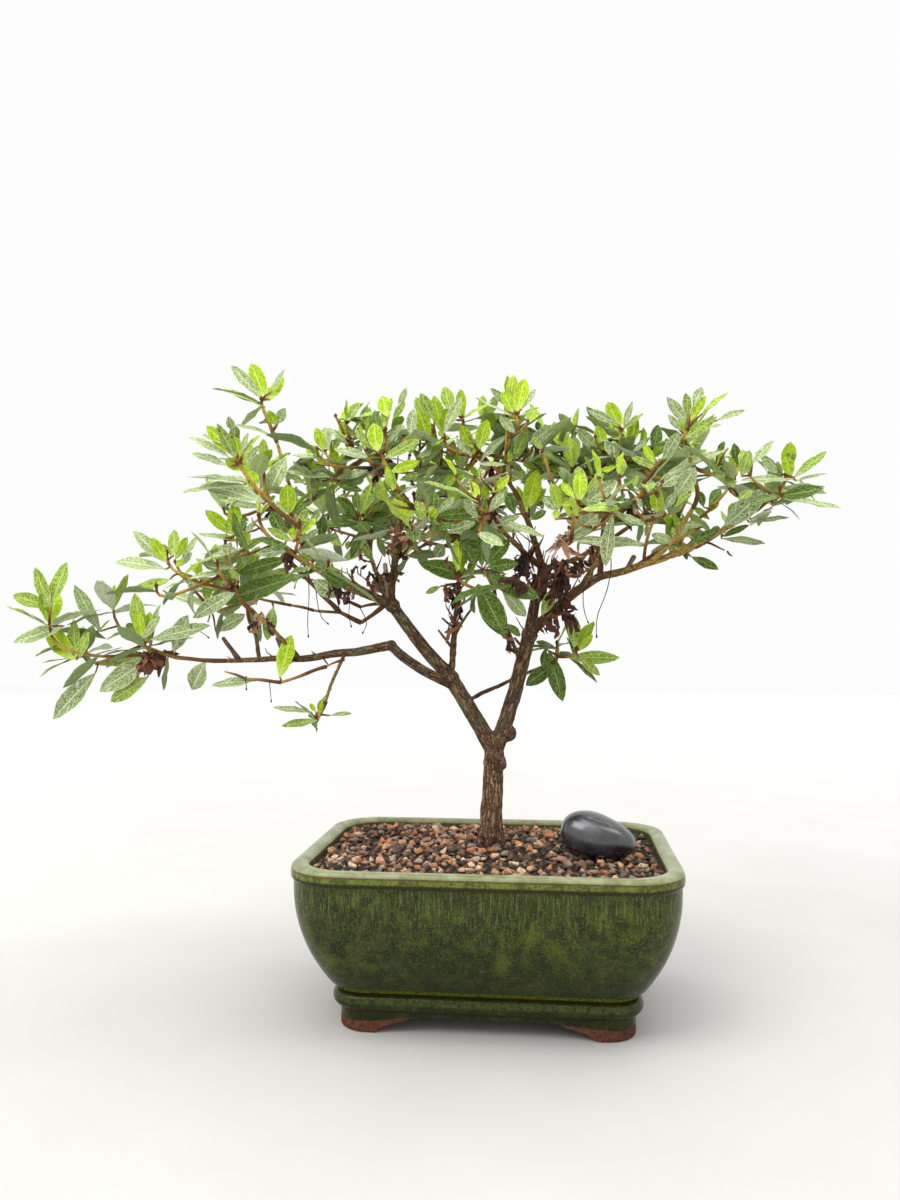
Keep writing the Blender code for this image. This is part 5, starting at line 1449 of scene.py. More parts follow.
skyWindows = {  # open sky in the photo, as outlines in mm in the plane of the trunk: x and height
    "topTwigRight": ((-131, 372), (-92, 372), (-88, 345), (-100, 318), (-113, 318), (-122, 345)),
    "topTwigLeft": ((-200, 352), (-153, 352), (-142, 340), (-152, 328), (-200, 328)),
    "leftStep": ((-215, 300), (-178, 300), (-166, 283), (-178, 268), (-215, 268)),
    "farLeftStep": ((-245, 262), (-222, 262), (-214, 248), (-222, 238), (-246, 240)),
    "underRightBough": ((60, 226), (88, 236), (118, 248), (146, 262), (190, 270), (190, 200), (60, 200)),
    "rightFork": ((10, 265), (46, 270), (52, 235), (40, 210), (28, 206), (14, 230)),
    "underLeft": ((-120, 222), (-70, 222), (-64, 206), (-82, 200), (-122, 205)),
    "middleOpen": ((-42, 240), (-30, 240), (-24, 206), (-36, 206)),
    "rightOpen": ((2, 214), (12, 214), (4, 180), (-12, 190)),
    "topRight1": ((26, 375), (57, 374), (57, 338), (48, 332), (38, 332), (33, 331), (27, 340)),
    "topRight2": ((88, 373), (100, 373), (100, 341), (96, 327), (90, 326), (87, 334)),
    "topFarRight": ((142, 371), (206, 369), (205, 294), (184, 296), (183, 309), (165, 315), (156, 314), (145, 313),
                    (142, 325)),
    "topMiddle": ((-19, 376), (7, 376), (6, 352), (-1, 351), (-12, 348), (-19, 345)),
    "topLeft": ((-122, 380), (-68, 378), (-68, 350), (-83, 343), (-90, 332), (-101, 336), (-111, 329), (-122, 330)),
}


def inOutline(x, z, outline):
    inside = False
    for (x1, z1), (x2, z2) in zip(outline, outline[1:] + outline[:1]):
        if (z1 > z) != (z2 > z) and x < (x2 - x1) * (z - z1) / (z2 - z1) + x1:
            inside = not inside
    return inside


def beforeSky(spot):
    # whether the photo's camera sees a spot before open sky
    eye = Vector(view["from"]) / mm
    flat = eye + (spot - eye) * ((limbRule["foot"][1] - eye.y) / (spot.y - eye.y))
    return any(inOutline(flat.x, flat.z, outline) for outline in skyWindows.values())


def onLeaf(row, share):
    return Vector(row[:3]) + Vector(row[3:6]) * row[9] * share


def coversSky(row):
    return any(beforeSky(onLeaf(row, share)) for share in (0.0, 0.5, 0.92))


def endAtSky(controls):
    # a shoot that would stand before open sky ends where it reaches it
    for step in range(13):
        if beforeSky(pointOn(controls, step / 12)):
            break
    share = max(step, 4) / 12
    kept, level = [controls[0]], list(controls)
    while len(level) > 1:
        level = [a.lerp(b, share) for a, b in zip(level, level[1:])]
        kept.append(level[0])
    return kept


for rows in leafPieces.values():
    rows[:] = [row for row in rows if not coversSky(row)]
twigLines[:] = [(endAtSky(line[0]),) + line[1:] if line[3] > 0.7 else line for line in twigLines]

seenLeaves = {  # leaves of the front: root and tip in the plane of the trunk in mm, and width in hundredths
    "brightLeaves": (
        (-124, 180, -117, 205, 40), (50, 196, 58, 205, 36), (-100, 159, -99, 167, 42), (-102, 160, -106, 165, 42),
        (-193, 248, -203, 263, 40), (-266, 222, -266, 236, 40), (-208, 202, -211, 219, 40), (-249, 190, -270, 210, 40),
        (-66, 312, -69, 330, 50), (-60, 332, -64, 346, 52), (-58, 300, -41, 306, 36), (-28, 322, -33, 344, 36),
        (-28, 323, -25, 337, 48), (-22, 330, -15, 341, 35), (-36, 318, -42, 336, 48), (-27, 291, -14, 301, 58),
        (-10, 313, -18, 327, 42), (-7, 312, -2, 330, 45), (-8, 305, -8, 316, 55), (15, 333, 20, 354, 38),
        (13, 333, 7, 346, 45), (11, 304, 10, 311, 70), (21, 277, 27, 300, 42), (21, 275, 15, 291, 28),
        (21, 277, 32, 289, 28), (1, 287, 11, 296, 42), (-7, 283, -11, 294, 42), (-1, 283, -5, 291, 45),
        (-81, 313, -85, 319, 50), (74, 323, 67, 338, 50), (65, 310, 61, 325, 46), (93, 302, 87, 313, 36),
        (113, 326, 122, 340, 32), (139, 296, 136, 310, 52), (168, 293, 165, 305, 60), (94, 274, 94, 287, 56),
        (123, 274, 128, 282, 50), (51, 281, 51, 299, 42), (48, 283, 40, 293, 32), (-133, 344, -143, 367, 38),
        (-131, 344, -123, 358, 42), (-127, 329, -132, 338, 60), (-152, 312, -170, 330, 36), (-149, 310, -152, 323, 50),
        (-147, 302, -158, 310, 46), (-139, 291, -143, 302, 72), (-119, 276, -120, 294, 55), (-151, 264, -152, 284, 44),
        (-152, 264, -170, 279, 34), (-116, 261, -117, 268, 72), (-111, 264, -103, 274, 42), (-126, 254, -136, 255, 42),
        (-188, 250, -181, 263, 36), (-188, 247, -182, 248, 50), (-98, 313, -103, 327, 44), (-100, 310, -107, 316, 50),
        (-84, 320, -89, 330, 42), (-36, 271, -31, 278, 50), (-45, 273, -56, 286, 50), (-3, 271, -4, 277, 70),
        (37, 271, 38, 277, 60), (-84, 255, -83, 260, 70)),
    "freshLeaves": (
        (29, 216, 37, 232, 38), (-204, 180, -228, 165, 34), (-128, 221, -132, 202, 42), (-237, 187, -203, 193, 26),
        (45, 192, 73, 192, 28), (50, 192, 62, 182, 32), (48, 197, 46, 215, 34), (-101, 155, -123, 152, 25),
        (-191, 238, -216, 231, 26), (-266, 222, -277, 246, 34), (-266, 222, -256, 249, 34), (-266, 222, -294, 230, 34),
        (-208, 202, -213, 230, 34), (-249, 190, -252, 215, 34), (-249, 190, -241, 207, 34), (-78, 320, -90, 330, 30),
        (-68, 313, -80, 326, 30), (-62, 308, -41, 319, 28), (-77, 277, -79, 290, 30), (-76, 275, -69, 295, 35),
        (-23, 335, -27, 350, 50), (-33, 330, -41, 346, 40), (-35, 326, -44, 344, 36), (-57, 331, -50, 341, 40),
        (-24, 304, -21, 318, 45), (-19, 329, 3, 340, 15), (17, 331, 28, 336, 25), (14, 306, 21, 324, 36),
        (11, 293, 20, 299, 36), (30, 311, 24, 319, 40), (0, 276, 10, 290, 36), (-37, 273, -44, 283, 45),
        (-40, 299, -53, 295, 30), (76, 322, 87, 332, 22), (94, 300, 80, 306, 30), (112, 329, 111, 342, 42),
        (120, 330, 134, 343, 16), (110, 316, 128, 328, 32), (141, 294, 146, 309, 45), (127, 296, 125, 304, 45),
        (170, 293, 190, 310, 21), (123, 270, 115, 277, 40), (54, 285, 65, 298, 30), (104, 259, 103, 266, 40),
        (147, 286, 139, 281, 35), (79, 287, 84, 296, 35), (-134, 340, -161, 352, 15), (-151, 309, -163, 331, 28),
        (-147, 312, -138, 324, 25), (-119, 275, -127, 284, 42), (-149, 260, -164, 265, 26), (-182, 241, -173, 248, 26),
        (-149, 235, -167, 237, 30), (-149, 237, -155, 244, 50), (-117, 260, -132, 268, 30), (-114, 265, -108, 280, 38),
        (-113, 253, -103, 248, 36), (-189, 252, -189, 268, 46), (-190, 252, -196, 259, 34), (-93, 313, -88, 322, 42),
        (-95, 305, -103, 309, 45), (-110, 294, -120, 301, 30), (-76, 277, -69, 295, 32), (-39, 271, -44, 282, 46),
        (-36, 276, -33, 280, 42), (-39, 267, -43, 272, 50), (-29, 233, -38, 229, 36), (-69, 248, -74, 257, 50),
        (-42, 253, -47, 260, 50), (-87, 257, -95, 262, 40)),
    "silverLeaves": (
        (-169, 189, -178, 172, 58), (-151, 230, -179, 215, 30), (-237, 182, -264, 154, 33), (-202, 192, -233, 171, 34),
        (-234, 207, -251, 235, 30), (-257, 210, -294, 199, 26), (-189, 195, -179, 217, 46), (-163, 207, -145, 217, 40),
        (-139, 178, -166, 176, 22), (-203, 202, -166, 211, 24), (-94, 158, -81, 160, 22), (-105, 160, -128, 163, 18),
        (-194, 244, -227, 252, 22), (-193, 248, -216, 268, 28), (-208, 202, -198, 216, 28), (-63, 315, -52, 328, 30),
        (-70, 308, -93, 316, 25), (-68, 302, -91, 296, 25), (-27, 322, -17, 343, 28), (-47, 321, -45, 337, 38),
        (-54, 337, -49, 349, 35), (-19, 320, -43, 307, 20), (-23, 301, -45, 283, 28), (-20, 288, 6, 306, 25),
        (-11, 308, -20, 319, 35), (-6, 305, 9, 322, 20), (13, 331, -10, 342, 14), (12, 336, 0, 348, 30),
        (18, 335, 26, 346, 28), (14, 321, 5, 332, 40), (10, 303, -7, 304, 22), (38, 326, 22, 315, 35),
        (40, 305, 17, 292, 25), (-7, 273, -15, 281, 35), (-31, 274, -21, 285, 30), (73, 325, 56, 334, 28),
        (76, 323, 81, 338, 25), (63, 309, 49, 323, 35), (71, 303, 70, 316, 50), (98, 304, 107, 320, 40),
        (79, 307, 91, 318, 22), (111, 325, 100, 340, 36), (115, 334, 120, 345, 45), (128, 326, 144, 332, 25),
        (107, 321, 101, 330, 40), (147, 301, 159, 314, 24), (134, 310, 98, 297, 19), (161, 295, 152, 304, 40),
        (170, 292, 141, 293, 18), (171, 291, 188, 295, 16), (164, 281, 200, 276, 16), (104, 282, 116, 300, 50),
        (95, 289, 107, 296, 50), (131, 265, 155, 287, 36), (98, 275, 105, 286, 36), (53, 279, 72, 293, 36),
        (42, 259, 62, 274, 40), (45, 259, 88, 255, 17), (72, 274, 88, 267, 25), (104, 257, 91, 262, 42),
        (120, 266, 105, 268, 28), (145, 268, 167, 271, 16), (130, 259, 154, 256, 22), (146, 270, 158, 274, 16),
        (-136, 345, -155, 366, 24), (-130, 349, -122, 362, 22), (-126, 330, -121, 339, 60), (-127, 322, -152, 331, 12),
        (-153, 326, -156, 335, 60), (-148, 312, -145, 325, 25), (-146, 306, -138, 317, 30), (-155, 310, -181, 324, 16),
        (-156, 305, -179, 315, 19), (-153, 317, -173, 325, 22), (-142, 295, -182, 301, 11), (-146, 294, -186, 292, 16),
        (-133, 283, -174, 298, 22), (-131, 279, -162, 284, 16), (-132, 287, -121, 310, 45), (-116, 280, -115, 293, 36),
        (-145, 265, -140, 271, 50), (-152, 261, -175, 266, 15), (-147, 256, -175, 249, 16), (-149, 254, -163, 257, 40),
        (-149, 244, -173, 248, 19), (-152, 242, -182, 241, 14), (-175, 230, -178, 238, 75), (-106, 270, -100, 279, 45),
        (-110, 260, -101, 267, 40), (-121, 264, -130, 271, 32), (-129, 274, -145, 271, 18), (-119, 255, -140, 252, 30),
        (-104, 237, -89, 227, 55), (-185, 248, -174, 264, 23), (-183, 247, -178, 254, 45), (-96, 314, -98, 328, 50),
        (-84, 317, -96, 328, 17), (-93, 297, -121, 302, 21), (-99, 309, -118, 312, 21), (-31, 275, -21, 285, 32),
        (-25, 264, -9, 270, 36), (-1, 276, 8, 287, 42), (-8, 272, -15, 283, 42), (-1, 268, 17, 273, 28),
        (8, 269, 31, 261, 20), (38, 276, 30, 284, 50), (-8, 264, 8, 256, 34), (-32, 250, -27, 257, 90)),
    "shadeLeaves": (
        (-7, 234, 8, 204, 42), (10, 211, 17, 204, 45), (37, 189, 20, 176, 40), (33, 196, 41, 167, 32),
        (31, 197, 30, 186, 40), (-66, 323, -68, 337, 45), (-75, 289, -91, 294, 35), (-78, 275, -90, 286, 40),
        (-73, 273, -59, 276, 30), (12, 308, 12, 317, 40), (27, 322, 27, 328, 50), (30, 310, 36, 307, 35),
        (-5, 275, -4, 285, 45), (-33, 275, -33, 289, 45), (-49, 283, -60, 289, 35), (64, 306, 57, 313, 40),
        (93, 309, 95, 324, 45), (139, 300, 137, 313, 42), (128, 307, 132, 314, 45), (168, 301, 168, 313, 50),
        (91, 275, 86, 288, 36), (95, 282, 93, 290, 50), (120, 277, 118, 286, 50), (123, 278, 130, 288, 46),
        (111, 256, 128, 264, 32), (130, 260, 145, 267, 26), (113, 249, 128, 242, 34), (82, 286, 76, 294, 40),
        (-151, 317, -153, 330, 52), (-116, 276, -108, 282, 36), (-146, 265, -147, 275, 36), (-152, 238, -162, 242, 42),
        (-150, 242, -145, 253, 46), (-174, 231, -164, 231, 36), (-120, 261, -131, 279, 36), (-100, 261, -98, 275, 46),
        (-118, 256, -138, 262, 26), (-119, 250, -150, 241, 27), (-111, 240, -163, 225, 25), (-79, 274, -89, 274, 36),
        (-73, 274, -60, 276, 30), (-35, 266, -21, 269, 30), (23, 271, 32, 276, 46), (14, 274, 9, 287, 46),
        (-8, 245, -18, 259, 42), (-5, 244, -6, 264, 32), (-3, 245, 11, 260, 42), (-2, 244, 16, 246, 42),
        (-9, 238, -41, 247, 33), (-2, 238, 28, 226, 34), (-7, 234, 7, 207, 44), (-53, 253, -62, 256, 40)),
}
seenTwigs = (  # corners in the same plane, thickness at both ends, how young, and how far the tip leans back
    (((-44, 275), (-57, 290), (-64, 311)), (1.5, 1.1), 0.9, -8),
    (((-66, 278), (-70, 286), (-70, 294)), (1, 0.8), 0.7, 0),
    (((-31, 301), (-29, 311), (-28, 320)), (1.1, 0.9), 0.9, 2),
    (((-28, 283), (-19, 293), (-9, 305)), (1.4, 1.1), 0.9, -8),
    (((17, 318), (16, 326), (15, 332)), (1.1, 0.9), 0.9, 0),
    (((9, 291), (11, 297), (12, 301)), (1, 0.8), 0.8, -2),
    (((36, 289), (34, 299), (30, 310)), (1.1, 0.9), 0.9, 0),
    (((-39, 313), (-36, 318), (-33, 323)), (0.9, 0.8), 0.8, 2),
    (((-55, 291), (-55, 301), (-54, 309)), (0.9, 0.8), 0.9, 2),
    (((84, 248), (88, 259), (93, 272)), (1.2, 1), 0.9, -4),
    (((88, 293), (100, 306), (111, 320)), (1.3, 1), 0.75, 0),
    (((74, 303), (74, 313), (74, 322)), (1.1, 0.9), 0.9, 0),
    (((65, 303), (65, 306), (65, 309)), (0.9, 0.8), 0.9, 0),
    (((113, 267), (127, 277), (137, 292)), (1.3, 1), 0.8, -3),
    (((65, 267), (71, 281), (73, 292)), (1.2, 0.9), 0.8, 0),
    (((40, 259), (45, 269), (50, 280)), (1.2, 1), 0.9, -6),
    (((80, 244), (95, 252), (115, 264)), (1.4, 1), 0.55, -3),
    (((-115, 267), (-130, 281), (-142, 293), (-149, 306)), (1.4, 1.1), 0.8, -4),
    (((-104, 235), (-110, 245), (-115, 257)), (1.2, 1), 0.9, -6),
    (((-142, 235), (-145, 247), (-148, 258)), (1.1, 0.9), 0.9, -3),
    (((-174, 225), (-182, 237), (-188, 248)), (1.2, 1), 0.9, -2),
    (((-88, 271), (-92, 289), (-96, 309)), (0.9, 0.8), 0.8, 0),
    (((-113, 260), (-115, 268), (-117, 275)), (0.9, 0.8), 0.9, 0),
    (((-29, 257), (-15, 262), (-1, 272)), (1.3, 1), 0.8, -10),
    (((8, 225), (2, 234), (-4, 242)), (1.2, 1), 0.6, -4),
    (((-69, 257), (-73, 265), (-77, 275)), (1, 0.9), 0.9, -4),
    (((-53, 248), (-44, 257), (-38, 266)), (1, 0.9), 0.9, -4),
)
seenThreads = (  # corners of the hanging threads, in the same plane
    ((-106, 238), (-107, 228), (-108, 219), (-107, 205)),
    ((-103, 230), (-102, 222), (-100, 215), (-96, 212)), ((-76, 219), (-73, 216), (-71, 211), (-74, 207)),
    ((-145, 182), (-145, 180), (-144, 177), (-144, 174)),
    ((-130, 181), (-130, 177), (-129, 173), (-129, 167)),
    ((-188, 196), (-187, 209), (-177, 213), (-168, 204)), ((72, 251), (72, 233), (58, 226), (60, 205)),
    ((54, 232), (50, 225), (53, 218), (55, 213)), ((37, 202), (39, 196), (35, 191), (36, 186)),
    ((-22, 225), (-25, 220), (-25, 216), (-22, 211)),
)
seenClumps = (  # withered flowers: where, how many, how far round, length share and tone
    (40, 238, 22, 6.5, 1.2, 0.32), (41, 219, 14, 4.5, 1.25, 0.28), (17, 241, 17, 6, 1, 0.26),
    (40, 258, 10, 5.5, 1.1, 0.85), (56, 250, 10, 6, 1, 0.5), (-22, 231, 12, 6, 0.8, 0.55),
    (-92, 269, 8, 3.5, 0.7, 0.62), (-57, 263, 6, 5, 0.9, 0.7), (-201, 177, 18, 4.5, 1.3, 0.45),
    (-135, 220, 3, 2, 0.9, 0.95), (-72, 245, 6, 5, 0.8, 0.5), (-48, 268, 5, 4, 0.8, 0.6),
    (31, 203, 3, 2, 0.8, 0.3), (-78, 256, 4, 5, 0.7, 0.6), (-58, 240, 7, 3, 0.7, 0.35))
seen = {  # how what the photo shows is set, in mm
    "seed": 77, "nearest": 2.3, "spare": 0.9, "leanIn": (-7.0, 5.0), "width": 0.27, "tone": (0.3, 0.8), "twig": 0.78,
    "clearing": 3.4, "behind": 1.5, "bare": 6.0, "bareEnd": (0.8, 0.6), "clumpDepth": 4.0, "clumpSpare": 3.0,
    "threadDrop": (12.0, 24.0), "threadSway": 3.0, "threads": 0.5,
}


def asSeen(spots):
    # where the photo's camera sees each spot, as x and height in the plane of the trunk
    eye = np.array(view["from"]) / mm
    away = np.array([tuple(spot) for spot in spots]) - eye
    return (eye + away * ((limbRule["foot"][1] - eye[1]) / away[:, 1])[:, None])[:, [0, 2]]


def atDepth(x, z, depth):
    # the spot at a depth that the camera sees at (x, z) in the plane of the trunk
    eye = Vector(view["from"]) / mm
    aim = Vector((x, limbRule["foot"][1], z)) - eye
    return eye + aim * ((depth - eye.y) / aim.y)


carriers = [pointOn(line[0], k / 12) for line in twigLines for k in range(13)]
carriers += [point for points, _ in limbLines.values() for point in points]
carriersSeen = asSeen(carriers)


def listCarriers(lines):
    # twigs set from the photo carry leaves too
    global carriersSeen
    carriers.extend(pointOn(line, k / 12) for line in lines for k in range(13))
    carriersSeen = asSeen(carriers)


def carrierAt(x, z):
    # the foremost of the twig and limb spots that the camera sees nearest to (x, z)
    gaps = np.hypot(carriersSeen[:, 0] - x, carriersSeen[:, 1] - z)
    near = np.flatnonzero(gaps <= max(gaps.min() + seen["spare"], seen["nearest"]))
    return carriers[min(near, key=lambda index: carriers[index].y)]


def stalkTo(root, carrier, thick, young):
    # a short stalk where a root stands off the twig that carries it
    if (root - carrier).length > 1.0:
        way = (root - carrier).normalized()
        twigLines.append(([carrier, carrier.lerp(root, 0.3), carrier.lerp(root, 0.7), root], way, thick, young))


def growSeenTwigs():
    lines = []
    for corners, thick, young, lean in seenTwigs:
        carrier = carrierAt(*corners[0])
        last = len(corners) - 1
        spots = [carrier] + [atDepth(x, z, carrier.y + lean * (k + 1) / last) for k, (x, z) in enumerate(corners[1:])]
        line = spots if last == 3 else [carrier, spots[0].lerp(spots[1], 0.7), spots[1].lerp(spots[2], 0.4), spots[2]]
        heading = (line[3] - line[2]).normalized()
        twigLines.append((line, heading, (thick[0] * seen["twig"], thick[1] * seen["twig"]), young))
        lines.append(line)
    listCarriers(lines)


def clearBefore(known):
    # grown leaves that would stand before the known ones give way
    shares = (0.3, 0.6, 0.95)
    spots = [onLeaf(row, share) for row in known for share in shares]
    front, depths = asSeen(spots), np.array([spot.y for spot in spots])
    for rows in leafPieces.values():
        own = [onLeaf(row, share) for row in rows for share in shares]
        ownSeen, ownDepths = asSeen(own), np.array([spot.y for spot in own])
        gaps = np.hypot(ownSeen[:, None, 0] - front[None, :, 0], ownSeen[:, None, 1] - front[None, :, 1])
        hides = ((gaps < seen["clearing"]) & (ownDepths[:, None] < depths[None, :] + seen["behind"])).any(axis=1)
        hides = hides.reshape(-1, len(shares)).any(axis=1)
        rows[:] = [row for row, hidden in zip(rows, hides) if not hidden]


def growSeenLeaves():
    rng = random.Random(seen["seed"])
    grown = {piece: [] for piece in seenLeaves}
    for piece, rows in seenLeaves.items():
        for x, z, tipX, tipZ, hundredths in rows:
            share = hundredths / 100
            carrier = carrierAt(x, z)
            root = atDepth(x, z, carrier.y)
            tip = atDepth(tipX, tipZ, carrier.y + rng.uniform(*seen["leanIn"]))
            stalkTo(root, carrier, (0.6, 0.5), 0.5)
            heading = (tip - root).normalized()
            width = max(share, seen["width"])
            up = Vector((0.0, -share / width, sqrt(1.0 - (share / width) ** 2) + 0.12))
            up = (up - heading * up.dot(heading)).normalized()
            length = (tip - root).length
            row = leafRow(rng, "seen", root, heading, up, length, length * width)
            grown[piece].append(row + (rng.uniform(*seen["tone"]),))
    clearBefore([row for rows in grown.values() for row in rows])
    for piece, rows in grown.items():
        leafPieces[piece] += rows


def endBareShoots():
    # a shoot that bears no leaf at its end has no red end either
    roots = np.array([row[:3] for rows in leafPieces.values() for row in rows])
    for index, (controls, axis, thick, young) in enumerate(twigLines):
        if young > 0.5 and np.linalg.norm(roots - np.array(controls[-1]), axis=1).min() > seen["bare"]:
            foot, end = seen["bareEnd"]
            twigLines[index] = (controls, axis, (thick[0] * foot, thick[1] * end), 0.5)


def hangSeenClumps():
    rng = random.Random(seen["seed"] + 1)
    for x, z, count, reach, size, tone in seenClumps:
        for _ in range(count):
            nearX, nearZ = x + rng.gauss(0, reach * 0.55), z + rng.gauss(0, reach * 0.75)
            carrier = carrierAt(nearX, nearZ)
            root = atDepth(nearX, nearZ, carrier.y + rng.uniform(-seen["clumpDepth"], seen["clumpDepth"]))
            if (root - carrier).length > reach + seen["clumpSpare"]:
                root = carrier + shaken(rng, 1.5)
            stalkTo(root, carrier, (0.42, 0.3), 0.05)
            way = Vector((rng.uniform(-0.6, 0.6), rng.uniform(-0.8, 0.8), rng.uniform(-1.2, 0.1))).normalized()
            hangPetal(root, way, rng, size, tone)


def hangThreads():
    rng = random.Random(seen["seed"] + 2)
    for corners in seenThreads:
        carrier = carrierAt(*corners[0])
        line = [atDepth(x, z, carrier.y - 0.6 * k) for k, (x, z) in enumerate(corners)]
        twigLines.append(([carrier] + line, (line[-1] - line[-2]).normalized(), (0.27, 0.2), -1.0))
    for spot, share in threadSpots:
        if share < seen["threads"]:
            drop, aside = rng.uniform(*seen["threadDrop"]), seen["threadSway"]
            sway = [Vector((rng.uniform(-aside, aside), rng.uniform(-aside, aside), -drop * part))
                    for part in (0.3, 0.65, 1.0)]
            twigLines.append(([spot] + [spot + side for side in sway], Vector((0.2, 0.1, -1.0)), (0.25, 0.18), -1.0))


growSeenTwigs()
growSeenLeaves()
endBareShoots()
hangSeenClumps()
hangThreads()
print("seen leaves set,", len(twigLines), "twigs")

leafStations = (0.0, 0.05, 0.13, 0.27, 0.43, 0.59, 0.75, 0.89)
leafLook = {"thick": 0.36, "stalk": 0.055, "wave": 0.06, "tries": 5, "shorter": 0.88, "margin": 0.3}
leafBlunt = {"brightLeaves": 0.66, "freshLeaves": 0.74, "silverLeaves": 0.8, "shadeLeaves": 0.76, "witheredPetals": 0.9}


def leafPattern():
    # a closed leaf: five corners across the top, one under the rib, and a tip
    marks, faces = [], []
    for s in leafStations:
        marks += [(s, -1.0, 0.0), (s, -0.5, 0.75), (s, 0.0, 0.45), (s, 0.5, 0.75), (s, 1.0, 0.0), (s, 0.0, -1.0)]
    marks.append((1.0, 0.0, 0.0))
    tip = len(marks) - 1
    for row in range(len(leafStations) - 1):
        a, b = 6 * row, 6 * row + 6
        for k in range(4):
            faces.append((a + k, b + k, b + k + 1, a + k + 1))
        faces += [(a, a + 5, b + 5, b), (a + 5, a + 4, b + 4, b + 5)]
    a = 6 * (len(leafStations) - 1)
    faces += [(a + k, tip, a + k + 1) for k in range(4)] + [(a, a + 5, tip), (a + 5, a + 4, tip)]
    faces.append((0, 1, 2, 3, 4, 5))
    return np.array(marks), faces


leafMarks, leafFaces = leafPattern()


def leafCorners(rows, blunt, crumple=0.0):
    # every corner of every leaf at once; a row holds root, heading, up, length, width, fold, curl, swell and so on
    s, t, level = leafMarks[:, 0], leafMarks[:, 1], leafMarks[:, 2]
    root, heading, up = rows[:, None, 0:3], rows[:, None, 3:6], rows[:, None, 6:9]
    length, width, fold, curl, swell, twist, phase = [rows[:, None, k] for k in range(9, 16)]
    curl = np.where(np.abs(curl) < 0.02, 0.02, curl)
    outline = np.sin(np.pi * np.clip(s, 0.001, 0.999) ** swell) ** blunt
    outline = np.where(s >= 1.0, 0.0, np.maximum(outline, leafLook["stalk"] * 4.5 / (width + 3.0)))
    half = outline * width / 2
    y = t * half
    z = np.abs(t) * half * np.tan(fold) + level * leafLook["thick"] * (0.55 + 0.45 * (s < 0.2))
    z = z + leafLook["wave"] * width * np.sin(13.0 * s + phase) * t * t * (s > 0.1)
    turn = twist * s
    y, z = y * np.cos(turn) - z * np.sin(turn), y * np.sin(turn) + z * np.cos(turn)
    bend = curl * s
    x = length * np.sin(bend) / curl + z * np.sin(bend)
    z = -length * (1.0 - np.cos(bend)) / curl + z * np.cos(bend)
    if crumple:
        x = x + crumple * np.sin(9.0 * s + 5.0 * t + phase)
        z = z + crumple * np.sin(12.0 * s + 3.0 * t + phase * 2.0) * (s > 0.02)
    side = np.cross(up, heading)
    return root + heading * x[..., None] + side * y[..., None] + up * z[..., None]


def leafPiece(name, rows, crumple=0.0):
    rows = np.array(rows, float)
    low, high = [np.array([(side - middle) / mm for side, middle in zip(corner, potMiddle)]) for corner in cadBox]
    low, high = low + leafLook["margin"], high - leafLook["margin"]
    for _ in range(leafLook["tries"]):  # a leaf that would pass the tree's reach grows shorter
        corners = leafCorners(rows, leafBlunt[name], crumple)
        outside = ((corners < low) | (corners > high)).any(axis=(1, 2))
        if not outside.any():
            break
        rows[outside, 9:11] *= leafLook["shorter"]
    rows = rows[~outside]
    corners = leafCorners(rows, leafBlunt[name], crumple)
    count = len(leafMarks)
    verts = corners.reshape(-1, 3) * mm + np.array(potMiddle)
    faces = [tuple(corner + count * leaf for corner in face) for leaf in range(len(rows)) for face in leafFaces]
    item = meshPiece(name, verts, faces)
    layer = item.data.uv_layers.new(name="leafMap")
    pattern = []
    for face in leafFaces:
        under = 2.0 if 5 in [corner % 6 for corner in face] or len(face) == 6 else 0.0
        for corner in face:
            pattern += [leafMarks[corner, 0], (leafMarks[corner, 1] + 1.0) / 2 + under]
    layer.data.foreach_set("uv", np.tile(pattern, len(rows)))
    tone = item.data.attributes.new("leafTone", "FLOAT", "POINT")
    tone.data.foreach_set("value", np.repeat(rows[:, 16], count))
    smoothOver(item, 50)
    return item


def leafRecipe(dark, light, under, rib, young, gloss):
    def recipe():
        chart = Wire.node("ShaderNodeUVMap", {"uv_map": "leafMap"})
        along, across = axisOf(chart, "X"), axisOf(chart, "Y")
        below = rise(across, 1.4, 1.6)  # the underside's chart lies from 2 to 3
        inward = (across - below * 2.0 - 0.5).maths("ABSOLUTE")
        spot = inMillimetres(potMiddle)
        mottle = grainy(spot, 0.7, 3.0, 0.65)
        hairsAndSheen = grainy(spot, 2.2, 2.0, 0.7)
        veins = rise(((along * 9.0 - inward * 3.6) * 6.283).maths("SINE"), 0.62, 0.95) * rise(inward, 0.02, 0.1)
        ribs = rise(inward, 0.055, 0.02) * rise(along, 1.0, 0.8)
        colour = painted(
            blend(attribute("leafTone") * 0.55 + rise(mottle, 0.38, 0.62) * 0.55, dark, light),
            (rise(along, 0.38, 0.0) * (0.25 + young * 0.45), rib),
            (veins * 0.2, rib),
            # pale specks: partly the leaf's real hair, partly painted sheen
            (rise(hairsAndSheen, 0.545, 0.615) * (0.68 - young * 0.42), under),
            (rise(hairsAndSheen, 0.48, 0.38) * 0.65, dark),
            (below * (0.34 - young * 0.22), under),
            (ribs * 0.65, rib),
            # a pale margin, partly the leaf's own, partly a painted edge highlight
            (rise(inward, 0.44, 0.49) * 0.55, rib))
        height = mottle * 0.4 + hairsAndSheen * 0.2 - veins * 0.5 - ribs
        return {"Base Color": colour, "Roughness": gloss + mottle * 0.14 + below * 0.2,
                "Normal": bumped(height, 0.25 * mm, 0.6), "Specular IOR Level": 0.07}
    return recipe


